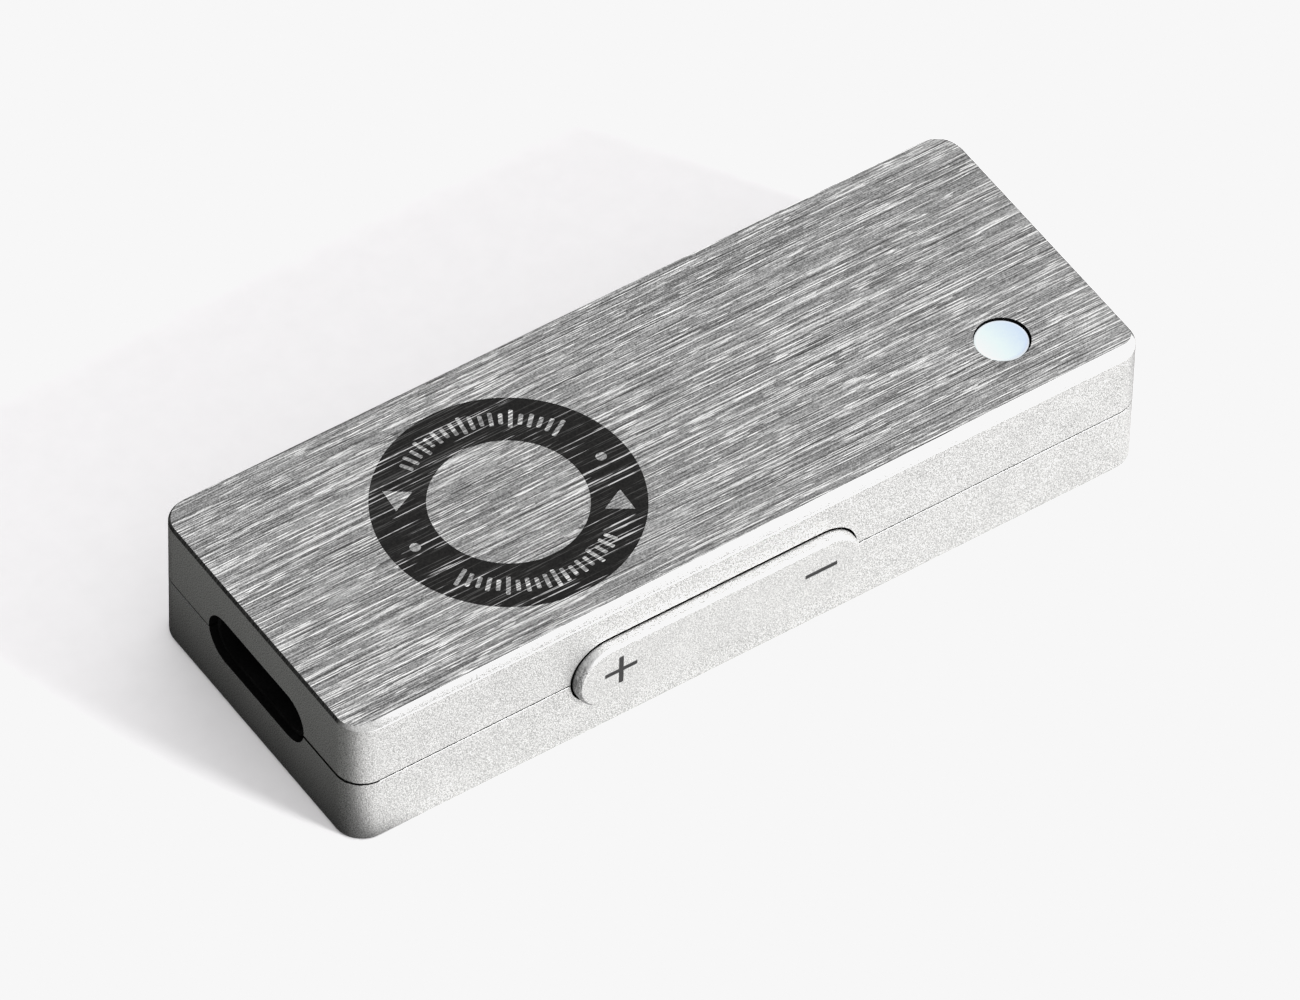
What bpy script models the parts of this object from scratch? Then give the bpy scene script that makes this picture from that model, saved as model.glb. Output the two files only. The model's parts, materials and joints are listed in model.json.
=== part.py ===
"""Pocket USB-C headphone amplifier: two aluminium shells round a circuit board, with a volume rocker.

Frame, in metres: the origin is the centre of the underside, +X runs along the body from the USB-C
socket to the headphone jack, the volume rocker is on the -Y side, and +Z is up.
"""

import math

import bmesh
import bpy
from mathutils import Matrix, Vector

MM = 0.001

# Housing
LENGTH = 52.0 * MM
WIDTH = 19.5 * MM
HEIGHT = 9.05 * MM
CORNER_RADIUS = 1.7 * MM
BOTTOM_EDGE_RADIUS = 0.2 * MM
WALL = 1.2 * MM
CORNER_STEPS = 8
EDGE_STEPS = 3
SEAM_Z = 4.6 * MM
SEAM_GAP = 0.1 * MM
SEAM_CHAMFER = 0.05 * MM
FIT_GAP = 0.1 * MM
LIP_INSET = 0.7 * MM
LIP_HEIGHT = 0.6 * MM
OVERCUT = 1.0 * MM

# Top edge, from the sides up: (drop from the top, inset, and inset of the rocker side at its two ends)
TOP_EDGE = (
    (0.22 * MM, 0, 0, 0),
    (0.18 * MM, 0.015 * MM, 0.02 * MM, 0.02 * MM),
    (0.165 * MM, 0.035 * MM, 0.06 * MM, 0.06 * MM),
    (0, 0.14 * MM, 0.52 * MM, 0.86 * MM),
)

# Openings in the housing
SOCKET_Y = -0.2 * MM
SOCKET_Z = 4.8 * MM
USB_OPENING = (9.38 * MM, 3.25 * MM)
JACK_OPENING_RADIUS = 2.35 * MM
LED_X = 19.6 * MM
LED_Y = -4.95 * MM
LED_HOLE_RADIUS = 1.6 * MM
LED_RECESS = 0.06 * MM
LED_CROWN = 0.04 * MM
LED_FLANGE = (0.36 * MM, 0.65 * MM)
LED_STEM_RADIUS = 1.2 * MM
LED_STEM_Z = 4.3 * MM
EMITTER_SIZE = (1.6 * MM, 0.8 * MM, 0.7 * MM)

# Volume rocker, with its pivot upright behind the middle of the key
ROCKER_X = -2.6 * MM
ROCKER_Z = 4.66 * MM
ROCKER_OPENING = (18.76 * MM, 4.62 * MM)
ROCKER_GAP = 0.12 * MM
ROCKER_PROUD = 0.7 * MM
ROCKER_RIM = 0.25 * MM
ROCKER_BACK_Y = -7.85 * MM
PIVOT_Y = -7.0 * MM
PIN_RADIUS = 0.4 * MM
PIN_CLEARANCE = 0.05 * MM
FLANGE_HALF_LENGTH = 5.0 * MM
FLANGE_HALF_HEIGHT = 2.75 * MM
FLANGE_Y = (-8.3 * MM, -7.75 * MM)
LUG_HALF_WIDTH = 0.85 * MM
LUG_Z = (3.8 * MM, 5.4 * MM)
NUB_OFFSET = 6.55 * MM
NUB_RADIUS = 0.7 * MM
NUB_TIP_Y = -7.45 * MM
GLYPH_SIZE = 2.1 * MM
GLYPH_STROKE = 0.31 * MM
GLYPH_DEPTH = 0.12 * MM
GLYPH_RISE = 0.2 * MM
BRACKET_Y = (-7.5 * MM, -5.2 * MM)
BRACKET_HALF_WIDTH = 1.3 * MM
BRACKET_THICKNESS = 0.4 * MM
BRACKET_GAP = 0.2 * MM
PIN_CHAMFER = 0.08 * MM

# Switches behind the rocker
SWITCH_SIZE = (3.4 * MM, 2.4 * MM, 2.8 * MM)
SWITCH_FRONT_Y = -6.6 * MM
PLUNGER_SIZE = (1.3 * MM, 1.59 * MM, 1.2 * MM)
PLUNGER_TIP_GAP = 0.06 * MM
POCKET_SIZE = (1.5 * MM, 1.3 * MM, 1.4 * MM)

# Circuit board
BOARD_LENGTH = 48.8 * MM
BOARD_WIDTH = 16.4 * MM
BOARD_Z = (2.35 * MM, 3.15 * MM)
BOARD_CORNER = 0.8 * MM
SOLDER_GAP = 0.05 * MM
NOTCH_ROOM = 0.75 * MM
PAD_SIZE = (22.0 * MM, 9.0 * MM)
PAD_PLACE = (-4.0 * MM, 1.5 * MM)

# Posts and screws that hold the shells together
POST_X = 22.7 * MM
POST_Y = 6.5 * MM
POST_RADIUS = 1.3 * MM
SEAT_RADIUS = 1.9 * MM
SCREW_RADIUS = 0.7 * MM
SCREW_HEAD_RADIUS = 1.3 * MM
SCREW_LENGTH = 5.6 * MM
SCREW_RECESS = 0.08 * MM
SCREW_EDGE = 0.05 * MM
DRIVER_BLADE = (1.5 * MM, 0.31 * MM)
DRIVER_DEPTH = 0.45 * MM

# USB-C socket
USB_SIZE = (8.94 * MM, 3.12 * MM)
USB_WALL = 0.3 * MM
USB_X = (-25.6 * MM, -18.1 * MM)
TONGUE_SIZE = (6.69 * MM, 0.7 * MM)
CONTACT_COUNT = 12
CONTACT_PITCH = 0.5 * MM
CONTACT_WIDTH = 0.25 * MM
CONTACT_THICKNESS = 0.06 * MM
CONTACT_LIFT = 0.03 * MM
CONTACT_BAR = 0.4 * MM
INSULATOR_DEPTH = 1.6 * MM
TONGUE_SETBACK = 0.9 * MM
TONGUE_ROUND = 0.2 * MM
TONGUE_CORNER = 0.1 * MM

# Headphone jack, 3.5 mm
JACK_X = (12.6 * MM, 24.6 * MM)
JACK_SIZE = (6.2 * MM, 4.8 * MM)
JACK_BORE_RADIUS = 1.8 * MM
JACK_BORE_DEPTH = 11.0 * MM
COLLAR_RADIUS = 2.2 * MM
COLLAR_EDGE = 0.1 * MM
LEAF_THICKNESS = 0.15 * MM
LEAF_HALF_WIDTH = 0.45 * MM
LEAF_SLOT_HALF = 0.6 * MM
LEAF_INSET = 0.2 * MM
LEAF_BUMP = 0.25 * MM
LEAF_PLACES = (
    ("jack_tip_contact", 1, 1.6 * MM, 4.6 * MM),
    ("jack_ring_contact", -1, 3.2 * MM, 4.2 * MM),
    ("jack_sleeve_contact", 1, 7.4 * MM, 3.4 * MM),
)

# Parts on the board, in millimetres: (name, material, size, plan position)
CHIP_EDGE = 0.06 * MM
CHIPS = (
    ("usb_bridge_chip", "chip", (5.0, 5.0, 0.85), (-13.2, 2.2)),
    ("dac_chip", "chip", (5.0, 5.0, 0.85), (-3.6, 3.0)),
    ("headphone_amplifier_chip", "chip", (4.0, 4.0, 0.8), (7.4, 4.4)),
    ("voltage_regulator", "chip", (2.9, 1.6, 1.1), (-14.8, -3.4)),
    ("flash_memory_chip", "chip", (3.0, 2.0, 0.6), (-13.2, 6.6)),
)
# The same with the position of the first of a row, its pitch along X and the number in it
ROWS = (
    ("clock_oscillator", "can", (2.5, 2.0, 0.8), (-8.4, -1.2), 3.6, 2),
    ("power_inductor", "ferrite", (2.5, 2.0, 1.2), (-18.6, -6.4), 3.4, 2),
    ("output_capacitor", "tantalum", (1.9, 3.2, 1.6), (2.2, -1.4), 2.6, 4),
    ("bypass_capacitor", "ceramic", (1.0, 1.6, 0.8), (-9.0, 7.1), 1.7, 6),
    ("output_resistor", "resistor", (1.6, 0.8, 0.5), (11.4, 6.6), 2.4, 2),
)
SHIELD_SIZE = (6.4 * MM, 6.4 * MM, 1.5 * MM)
SHIELD_PLACE = (-3.6 * MM, 3.0 * MM)
SHIELD_SHEET = 0.2 * MM
SHIELD_CORNER = 0.4 * MM


def clear_scene():
    """Remove the startup objects."""
    for item in list(bpy.data.objects):
        bpy.data.objects.remove(item, do_unlink=True)


def make_material(name, colour, roughness, metallic):
    """A Principled material."""
    material = bpy.data.materials.new(name)
    material.use_nodes = True
    shader = material.node_tree.nodes["Principled BSDF"]
    shader.inputs["Base Color"].default_value = (*colour, 1.0)
    shader.inputs["Roughness"].default_value = roughness
    shader.inputs["Metallic"].default_value = metallic
    return material


# Flat outlines, as lists of (u, v) running anticlockwise


def arc(centre, radius, start, end, steps):
    """Points of an arc, both ends included; angles in degrees."""
    points = []
    for step in range(steps + 1):
        angle = math.radians(start + (end - start) * step / steps)
        points.append((centre[0] + radius * math.cos(angle), centre[1] + radius * math.sin(angle)))
    return points


def circle(radius, steps=24):
    return arc((0, 0), radius, 0, 360, steps)[:-1]


def rounded_rectangle(length, width, radius, steps=CORNER_STEPS):
    points = []
    for quarter, (side_x, side_y) in enumerate(((1, 1), (-1, 1), (-1, -1), (1, -1))):
        centre = (side_x * (length / 2 - radius), side_y * (width / 2 - radius))
        points += arc(centre, radius, 90 * quarter, 90 * quarter + 90, steps)
    return points


def stadium(length, height, steps=12):
    """A slot outline: two straight sides and two half-round ends."""
    reach = (length - height) / 2
    return arc((reach, 0), height / 2, -90, 90, steps) + arc((-reach, 0), height / 2, 90, 270, steps)


def rectangle(length, width):
    u = length / 2
    v = width / 2
    return [(-u, -v), (u, -v), (u, v), (-u, v)]


def offset_strip(path, thickness):
    """Outline of a strip of even thickness that follows a path."""
    left = []
    right = []
    for index, point in enumerate(path):
        before = Vector(path[max(index - 1, 0)])
        after = Vector(path[min(index + 1, len(path) - 1)])
        along = (after - before).normalized()
        across = Vector((-along.y, along.x)) * thickness / 2
        left.append((point[0] + across.x, point[1] + across.y))
        right.append((point[0] - across.x, point[1] - across.y))
    return right + left[::-1]


# Outlines stood up in space


def in_plane(axis, outline, height, centre=(0, 0)):
    """Put a flat outline at a height along an axis: u and v become the other two axes in order."""
    placed = []
    for u, v in outline:
        u = u + centre[0]
        v = v + centre[1]
        placed.append({"X": (height, u, v), "Y": (u, height, v), "Z": (u, v, height)}[axis])
    return placed


def rounded_end(near, far, radius, steps=EDGE_STEPS):
    """(position, inset) pairs of a quarter-round edge, from the body out to its end face; far is inside."""
    direction = math.copysign(1, far - near)
    pairs = []
    for step in range(steps + 1):
        angle = math.radians(90 * step / steps)
        pairs.append((near + direction * radius * (1 - math.sin(angle)), radius * (1 - math.cos(angle))))
    return pairs


# Objects


def add_object(name, mesh, material=None, location=(0, 0, 0), parent=None):
    """Link a new object; a mesh that several objects share takes its material once."""
    body = bpy.data.objects.new(name, mesh)
    bpy.context.scene.collection.objects.link(body)
    body.location = location
    body.parent = parent
    if material is not None and not mesh.materials:
        mesh.materials.append(material)
    return body


def make_helper(body):
    """Keep a cutter or a joined shape out of the finished model."""
    body.hide_render = True
    body.display_type = "WIRE"
    return body


def finish_mesh(mesh):
    mesh.shade_smooth()
    mesh.set_sharp_from_angle(angle=math.radians(35))
    return mesh


def loft_mesh(name, rings):
    """A closed mesh through rings of points, with flat ends."""
    shape = bmesh.new()
    loops = []
    for ring in rings:
        loops.append([shape.verts.new(point) for point in ring])
    count = len(loops[0])
    for lower, upper in zip(loops, loops[1:]):
        for index in range(count):
            following = (index + 1) % count
            shape.faces.new((lower[index], lower[following], upper[following], upper[index]))
    shape.faces.new(loops[0][::-1])
    shape.faces.new(loops[-1])
    bmesh.ops.recalc_face_normals(shape, faces=shape.faces)
    mesh = bpy.data.meshes.new(name)
    shape.to_mesh(mesh)
    shape.free()
    return finish_mesh(mesh)


def prism_mesh(name, axis, outline, start, end, centre=(0, 0)):
    return loft_mesh(name, [in_plane(axis, outline, start, centre), in_plane(axis, outline, end, centre)])


def turned_mesh(name, profile, steps=24):
    """A solid of revolution about Z; the profile is (radius, height) pairs."""
    rings = []
    for radius, height in profile:
        rings.append(in_plane("Z", circle(radius, steps), height))
    return loft_mesh(name, rings)


def box_mesh(name, size, bevel=0.0):
    """A box about its own centre, with its edges broken."""
    shape = bmesh.new()
    bmesh.ops.create_cube(shape, size=1.0, matrix=Matrix.Diagonal((*size, 1.0)))
    if bevel:
        bmesh.ops.bevel(shape, geom=shape.edges, offset=bevel, segments=1, affect="EDGES")
    mesh = bpy.data.meshes.new(name)
    shape.to_mesh(mesh)
    shape.free()
    return finish_mesh(mesh)


def helper_prism(name, axis, outline, start, end, centre=(0, 0), parent=None):
    return make_helper(add_object(name, prism_mesh(name, axis, outline, start, end, centre), parent=parent))


def helper_loft(name, rings):
    return make_helper(add_object(name, loft_mesh(name, rings)))


def helper_box(name, low, high):
    size = [high[index] - low[index] for index in range(3)]
    centre = [(high[index] + low[index]) / 2 for index in range(3)]
    return make_helper(add_object(name, box_mesh(name, size), location=centre))


def combine(body, operation, *others):
    """Cut or join others with a body through Boolean modifiers."""
    for other in others:
        modifier = body.modifiers.new(other.name, "BOOLEAN")
        modifier.operation = operation
        modifier.solver = "EXACT"
        modifier.object = other


def housing_outline(inset, front_left, front_right):
    """Plan outline of the housing, inset from its sides, and by its own amounts along the rocker side."""
    points = []
    corners = ((1, 1, inset), (-1, 1, inset), (-1, -1, front_left), (1, -1, front_right))
    for quarter, (side_x, side_y, depth) in enumerate(corners):
        radius = CORNER_RADIUS - depth
        centre = (side_x * (LENGTH / 2 - inset - radius), side_y * (WIDTH / 2 - depth - radius))
        points += arc(centre, radius, 90 * quarter, 90 * quarter + 90, CORNER_STEPS)
    return points


def housing_rings(levels):
    """Housing outlines at (height, inset) levels, or at levels that also give the two front insets."""
    rings = []
    for height, inset, *front in levels:
        rings.append(in_plane("Z", housing_outline(inset, *(front or (inset, inset))), height))
    return rings


def housing_openings():
    """Cutters that both shells share, through the ends and the side."""
    usb = helper_prism(
        "usb_opening_cutter", "X", stadium(*USB_OPENING),
        -LENGTH / 2 - OVERCUT, -LENGTH / 2 + WALL + OVERCUT, (SOCKET_Y, SOCKET_Z),
    )
    jack = helper_prism(
        "jack_opening_cutter", "X", circle(JACK_OPENING_RADIUS, 32),
        LENGTH / 2 - WALL - OVERCUT, LENGTH / 2 + OVERCUT, (SOCKET_Y, SOCKET_Z),
    )
    rocker = helper_prism(
        "rocker_opening_cutter", "Y", stadium(*ROCKER_OPENING),
        -WIDTH / 2 - OVERCUT, -WIDTH / 2 + WALL + OVERCUT, (ROCKER_X, ROCKER_Z),
    )
    return usb, jack, rocker


def post_places():
    """Plan positions of the four screw posts."""
    return [(side_x * POST_X, side_y * POST_Y) for side_x in (-1, 1) for side_y in (-1, 1)]


def build_top_shell(openings, material):
    """The upper shell, with four posts that the screws bite into."""
    seam = SEAM_Z + SEAM_GAP / 2
    levels = [(seam, SEAM_CHAMFER), (seam + SEAM_CHAMFER, 0)]
    levels += [(HEIGHT - drop, *insets) for drop, *insets in TOP_EDGE]
    shell = add_object("top_shell", loft_mesh("top_shell", housing_rings(levels)), material)
    roof = HEIGHT - WALL
    cavity = helper_loft("top_cavity_cutter", housing_rings([(seam - OVERCUT, WALL), (roof, WALL)]))
    rebate_inset = LIP_INSET - FIT_GAP
    rebate_levels = [(seam - OVERCUT, rebate_inset), (seam + LIP_HEIGHT + FIT_GAP, rebate_inset)]
    rebate = helper_loft("top_rebate_cutter", housing_rings(rebate_levels))
    led_hole = helper_prism(
        "led_hole_cutter", "Z", circle(LED_HOLE_RADIUS, 40), roof - OVERCUT, HEIGHT + OVERCUT, (LED_X, LED_Y),
    )
    combine(shell, "DIFFERENCE", cavity, rebate, led_hole, *openings)
    foot = BOARD_Z[0] - SOLDER_GAP + FIT_GAP
    for number, place in enumerate(post_places(), 1):
        post = helper_prism(f"post_{number}", "Z", circle(POST_RADIUS), foot, roof + WALL / 2, place)
        combine(shell, "UNION", post)
    for number, place in enumerate(post_places(), 1):
        pilot = helper_prism(
            f"pilot_hole_{number}", "Z", circle(SCREW_RADIUS + PIN_CLEARANCE, 16),
            foot - OVERCUT, SCREW_LENGTH + SCREW_RECESS + FIT_GAP * 4, place,
        )
        combine(shell, "DIFFERENCE", pilot)
    return shell


def build_bottom_shell(openings, material):
    """The lower shell, with the lip that locates the upper one and a seat round each screw."""
    seam = SEAM_Z - SEAM_GAP / 2
    levels = rounded_end(0, seam, BOTTOM_EDGE_RADIUS)[::-1]
    levels += [(seam - SEAM_CHAMFER, 0), (seam, SEAM_CHAMFER)]
    shell = add_object("bottom_shell", loft_mesh("bottom_shell", housing_rings(levels)), material)
    lip_top = SEAM_Z + SEAM_GAP / 2 + LIP_HEIGHT
    lip = helper_loft("lip", housing_rings([(seam - WALL, LIP_INSET), (lip_top, LIP_INSET)]))
    cavity = helper_loft("bottom_cavity_cutter", housing_rings([(WALL, WALL), (lip_top + OVERCUT, WALL)]))
    combine(shell, "UNION", lip)
    combine(shell, "DIFFERENCE", cavity, *openings)
    seat_top = BOARD_Z[0] - SOLDER_GAP
    hole_radius = SCREW_RADIUS + FIT_GAP
    mouth_radius = SCREW_HEAD_RADIUS + FIT_GAP * 1.5
    cone_height = mouth_radius - hole_radius
    profile = [
        (mouth_radius, -OVERCUT),
        (mouth_radius, FIT_GAP * 1.5),
        (hole_radius, FIT_GAP * 1.5 + cone_height),
        (hole_radius, seat_top + OVERCUT),
    ]
    for number, place in enumerate(post_places(), 1):
        seat = helper_prism(f"screw_seat_{number}", "Z", circle(SEAT_RADIUS), WALL / 2, seat_top, place)
        combine(shell, "UNION", seat)
    countersink = turned_mesh("countersink", profile)
    for number, place in enumerate(post_places(), 1):
        cutter = make_helper(add_object(f"countersink_{number}", countersink, location=(*place, 0)))
        combine(shell, "DIFFERENCE", cutter)
    return shell


def build_screws(material):
    """Four countersunk machine screws with a cross recess, from below."""
    shoulder = SCREW_RECESS + SCREW_HEAD_RADIUS - SCREW_RADIUS
    tip = SCREW_RECESS + SCREW_LENGTH
    profile = [
        (SCREW_HEAD_RADIUS, SCREW_RECESS),
        (SCREW_HEAD_RADIUS, SCREW_RECESS + SCREW_EDGE),
        (SCREW_RADIUS, shoulder + SCREW_EDGE),
        (SCREW_RADIUS, tip - SCREW_RADIUS / 3),
        (SCREW_RADIUS * 2 / 3, tip),
    ]
    mesh = turned_mesh("shell_screw", profile, 20)
    for number, place in enumerate(post_places(), 1):
        screw = add_object(f"shell_screw_{number}", mesh, material, (*place, 0))
        for name, size in (("x", DRIVER_BLADE), ("y", DRIVER_BLADE[::-1])):
            blade = helper_prism(
                f"driver_{name}_{number}", "Z", rectangle(*size),
                SCREW_RECESS - OVERCUT, SCREW_RECESS + DRIVER_DEPTH, place,
            )
            combine(screw, "DIFFERENCE", blade)


def build_led(lens_material, emitter_material):
    """A stepped light pipe under the hole, and the lamp that it stands over."""
    pipe_radius = LED_HOLE_RADIUS - FIT_GAP
    flange_radius = LED_HOLE_RADIUS + LED_FLANGE[0]
    flange_top = HEIGHT - WALL - FIT_GAP
    flange_bottom = flange_top - LED_FLANGE[1]
    top = HEIGHT - LED_RECESS
    profile = [
        (LED_STEM_RADIUS, LED_STEM_Z),
        (LED_STEM_RADIUS, flange_bottom),
        (flange_radius, flange_bottom),
        (flange_radius, flange_top),
        (pipe_radius, flange_top),
        (pipe_radius, top - LED_CROWN),
        (pipe_radius * 0.93, top - LED_CROWN / 3),
        (pipe_radius * 0.6, top),
    ]
    pipe = turned_mesh("led_light_pipe", profile, 40)
    add_object("led_light_pipe", pipe, lens_material, (LED_X, LED_Y, 0))
    height = BOARD_Z[1] + SOLDER_GAP + EMITTER_SIZE[2] / 2
    emitter = box_mesh("led_emitter", EMITTER_SIZE, 0.08 * MM)
    add_object("led_emitter", emitter, emitter_material, (LED_X, LED_Y, height))


def build_rocker(key_material):
    """The volume key, drawn about its pivot, with its flange, pivot lug and two pressing nubs."""
    axis = bpy.data.objects.new("rocker_axis", None)
    bpy.context.scene.collection.objects.link(axis)
    axis.location = (ROCKER_X, PIVOT_Y, ROCKER_Z)
    front = -WIDTH / 2 - ROCKER_PROUD - PIVOT_Y
    back = ROCKER_BACK_Y - PIVOT_Y
    length = ROCKER_OPENING[0] - 2 * ROCKER_GAP
    height = ROCKER_OPENING[1] - 2 * ROCKER_GAP
    rings = []
    for depth, inset in [(back, 0)] + rounded_end(front, back, ROCKER_RIM, 4):
        rings.append(in_plane("Y", stadium(length - 2 * inset, height - 2 * inset), depth))
    key = add_object("volume_rocker", loft_mesh("volume_rocker", rings), key_material, parent=axis)
    flange_outline = rounded_rectangle(2 * FLANGE_HALF_LENGTH, 2 * FLANGE_HALF_HEIGHT, 0.5 * MM, 3)
    flange_depths = (FLANGE_Y[0] - PIVOT_Y, FLANGE_Y[1] - PIVOT_Y)
    flange = helper_prism("rocker_flange", "Y", flange_outline, *flange_depths, parent=axis)
    lug_root = flange_depths[0] + FIT_GAP
    lug_outline = arc((0, 0), LUG_HALF_WIDTH, 0, 180, 12)
    lug_outline += [(-LUG_HALF_WIDTH, lug_root), (LUG_HALF_WIDTH, lug_root)]
    lug = helper_prism("rocker_lug", "Z", lug_outline, LUG_Z[0] - ROCKER_Z, LUG_Z[1] - ROCKER_Z, parent=axis)
    combine(key, "UNION", flange, lug)
    for name, side in (("plus", -1), ("minus", 1)):
        nub = helper_prism(
            f"{name}_nub", "Y", circle(NUB_RADIUS, 16), back - FIT_GAP * 3, NUB_TIP_Y - PIVOT_Y,
            (side * NUB_OFFSET, 0), parent=axis,
        )
        combine(key, "UNION", nub)
        stroke = helper_prism(
            f"{name}_bar", "Y", rectangle(GLYPH_SIZE, GLYPH_STROKE), front - OVERCUT, front + GLYPH_DEPTH,
            (side * NUB_OFFSET, GLYPH_RISE), parent=axis,
        )
        combine(key, "DIFFERENCE", stroke)
    upright = helper_prism(
        "plus_upright", "Y", rectangle(GLYPH_STROKE, GLYPH_SIZE), front - OVERCUT, front + GLYPH_DEPTH,
        (-NUB_OFFSET, GLYPH_RISE), parent=axis,
    )
    hole_outline = circle(PIN_RADIUS + PIN_CLEARANCE)
    lug_reach = LUG_Z[1] - LUG_Z[0]
    pin_hole = helper_prism("rocker_pin_hole", "Z", hole_outline, -lug_reach, lug_reach, parent=axis)
    combine(key, "DIFFERENCE", upright, pin_hole)


def build_pivot(pin_material, bracket_material):
    """The folded bracket on the board and the upright pin that it holds for the key."""
    low = LUG_Z[0] - BRACKET_GAP
    high = LUG_Z[1] + BRACKET_GAP
    foot = low - BRACKET_THICKNESS
    head = high + BRACKET_THICKNESS
    tip_y, rear_y = BRACKET_Y
    inner_y = rear_y - BRACKET_THICKNESS
    profile = [
        (tip_y, foot), (rear_y, foot), (rear_y, head), (tip_y, head),
        (tip_y, high), (inner_y, high), (inner_y, low), (tip_y, low),
    ]
    sides = (ROCKER_X - BRACKET_HALF_WIDTH, ROCKER_X + BRACKET_HALF_WIDTH)
    bracket_mesh = prism_mesh("rocker_bracket", "X", profile, *sides)
    bracket = add_object("rocker_bracket", bracket_mesh, bracket_material)
    hole_outline = circle(PIN_RADIUS + PIN_CLEARANCE)
    hole = helper_prism("bracket_pin_hole", "Z", hole_outline, BOARD_Z[0], HEIGHT, (ROCKER_X, PIVOT_Y))
    combine(bracket, "DIFFERENCE", hole)
    pin_low = foot + FIT_GAP / 2
    pin_high = head + FIT_GAP
    pin_profile = [
        (PIN_RADIUS - PIN_CHAMFER, pin_low),
        (PIN_RADIUS, pin_low + PIN_CHAMFER),
        (PIN_RADIUS, pin_high - PIN_CHAMFER),
        (PIN_RADIUS - PIN_CHAMFER, pin_high),
    ]
    pin = turned_mesh("rocker_pivot_pin", pin_profile)
    add_object("rocker_pivot_pin", pin, pin_material, (ROCKER_X, PIVOT_Y, 0))


def build_switches(body_material, plunger_material):
    """Two side-push switches on the board; the key's nubs press their plungers."""
    body_mesh = box_mesh("switch_body", SWITCH_SIZE, 0.12 * MM)
    plunger_mesh = box_mesh("switch_plunger", PLUNGER_SIZE, 0.15 * MM)
    height = BOARD_Z[1] + SOLDER_GAP + SWITCH_SIZE[2] / 2
    for name, side in (("plus", -1), ("minus", 1)):
        x = ROCKER_X + side * NUB_OFFSET
        body_place = (x, SWITCH_FRONT_Y + SWITCH_SIZE[1] / 2, height)
        body = add_object(f"{name}_switch_body", body_mesh, body_material, body_place)
        half_x = POCKET_SIZE[0] / 2
        half_z = POCKET_SIZE[2] / 2
        pocket = helper_box(
            f"{name}_switch_pocket",
            (x - half_x, SWITCH_FRONT_Y - OVERCUT, height - half_z),
            (x + half_x, SWITCH_FRONT_Y + POCKET_SIZE[1], height + half_z),
        )
        combine(body, "DIFFERENCE", pocket)
        plunger_y = NUB_TIP_Y + PLUNGER_TIP_GAP + PLUNGER_SIZE[1] / 2
        add_object(f"{name}_switch_plunger", plunger_mesh, plunger_material, (x, plunger_y, height))


def build_board(board_material, pad_material):
    """The circuit board, cut away for the rocker and the jack, and the pad under it."""
    outline = rounded_rectangle(BOARD_LENGTH, BOARD_WIDTH, BOARD_CORNER, 4)
    board = add_object("main_board", prism_mesh("main_board", "Z", outline, *BOARD_Z), board_material)
    rocker_half = ROCKER_OPENING[0] / 2 + NOTCH_ROOM
    notch = helper_box(
        "board_rocker_notch",
        (ROCKER_X - rocker_half, -BOARD_WIDTH, 0),
        (ROCKER_X + rocker_half, PIVOT_Y - FIT_GAP, HEIGHT),
    )
    jack_half = JACK_SIZE[0] / 2 + 2 * FIT_GAP
    jack_notch = helper_box(
        "board_jack_notch",
        (JACK_X[0] - 2 * FIT_GAP, SOCKET_Y - jack_half, 0),
        (LENGTH, SOCKET_Y + jack_half, HEIGHT),
    )
    combine(board, "DIFFERENCE", notch, jack_notch)
    hole_outline = circle(POST_RADIUS + 1.5 * FIT_GAP)
    for number, place in enumerate(post_places(), 1):
        hole = helper_prism(f"board_hole_{number}", "Z", hole_outline, 0, HEIGHT, place)
        combine(board, "DIFFERENCE", hole)
    pad_height = BOARD_Z[0] - WALL - 2 * FIT_GAP
    pad_place = (*PAD_PLACE, WALL + FIT_GAP + pad_height / 2)
    pad = box_mesh("thermal_pad", (*PAD_SIZE, pad_height), 0.1 * MM)
    add_object("thermal_pad", pad, pad_material, pad_place)


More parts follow.
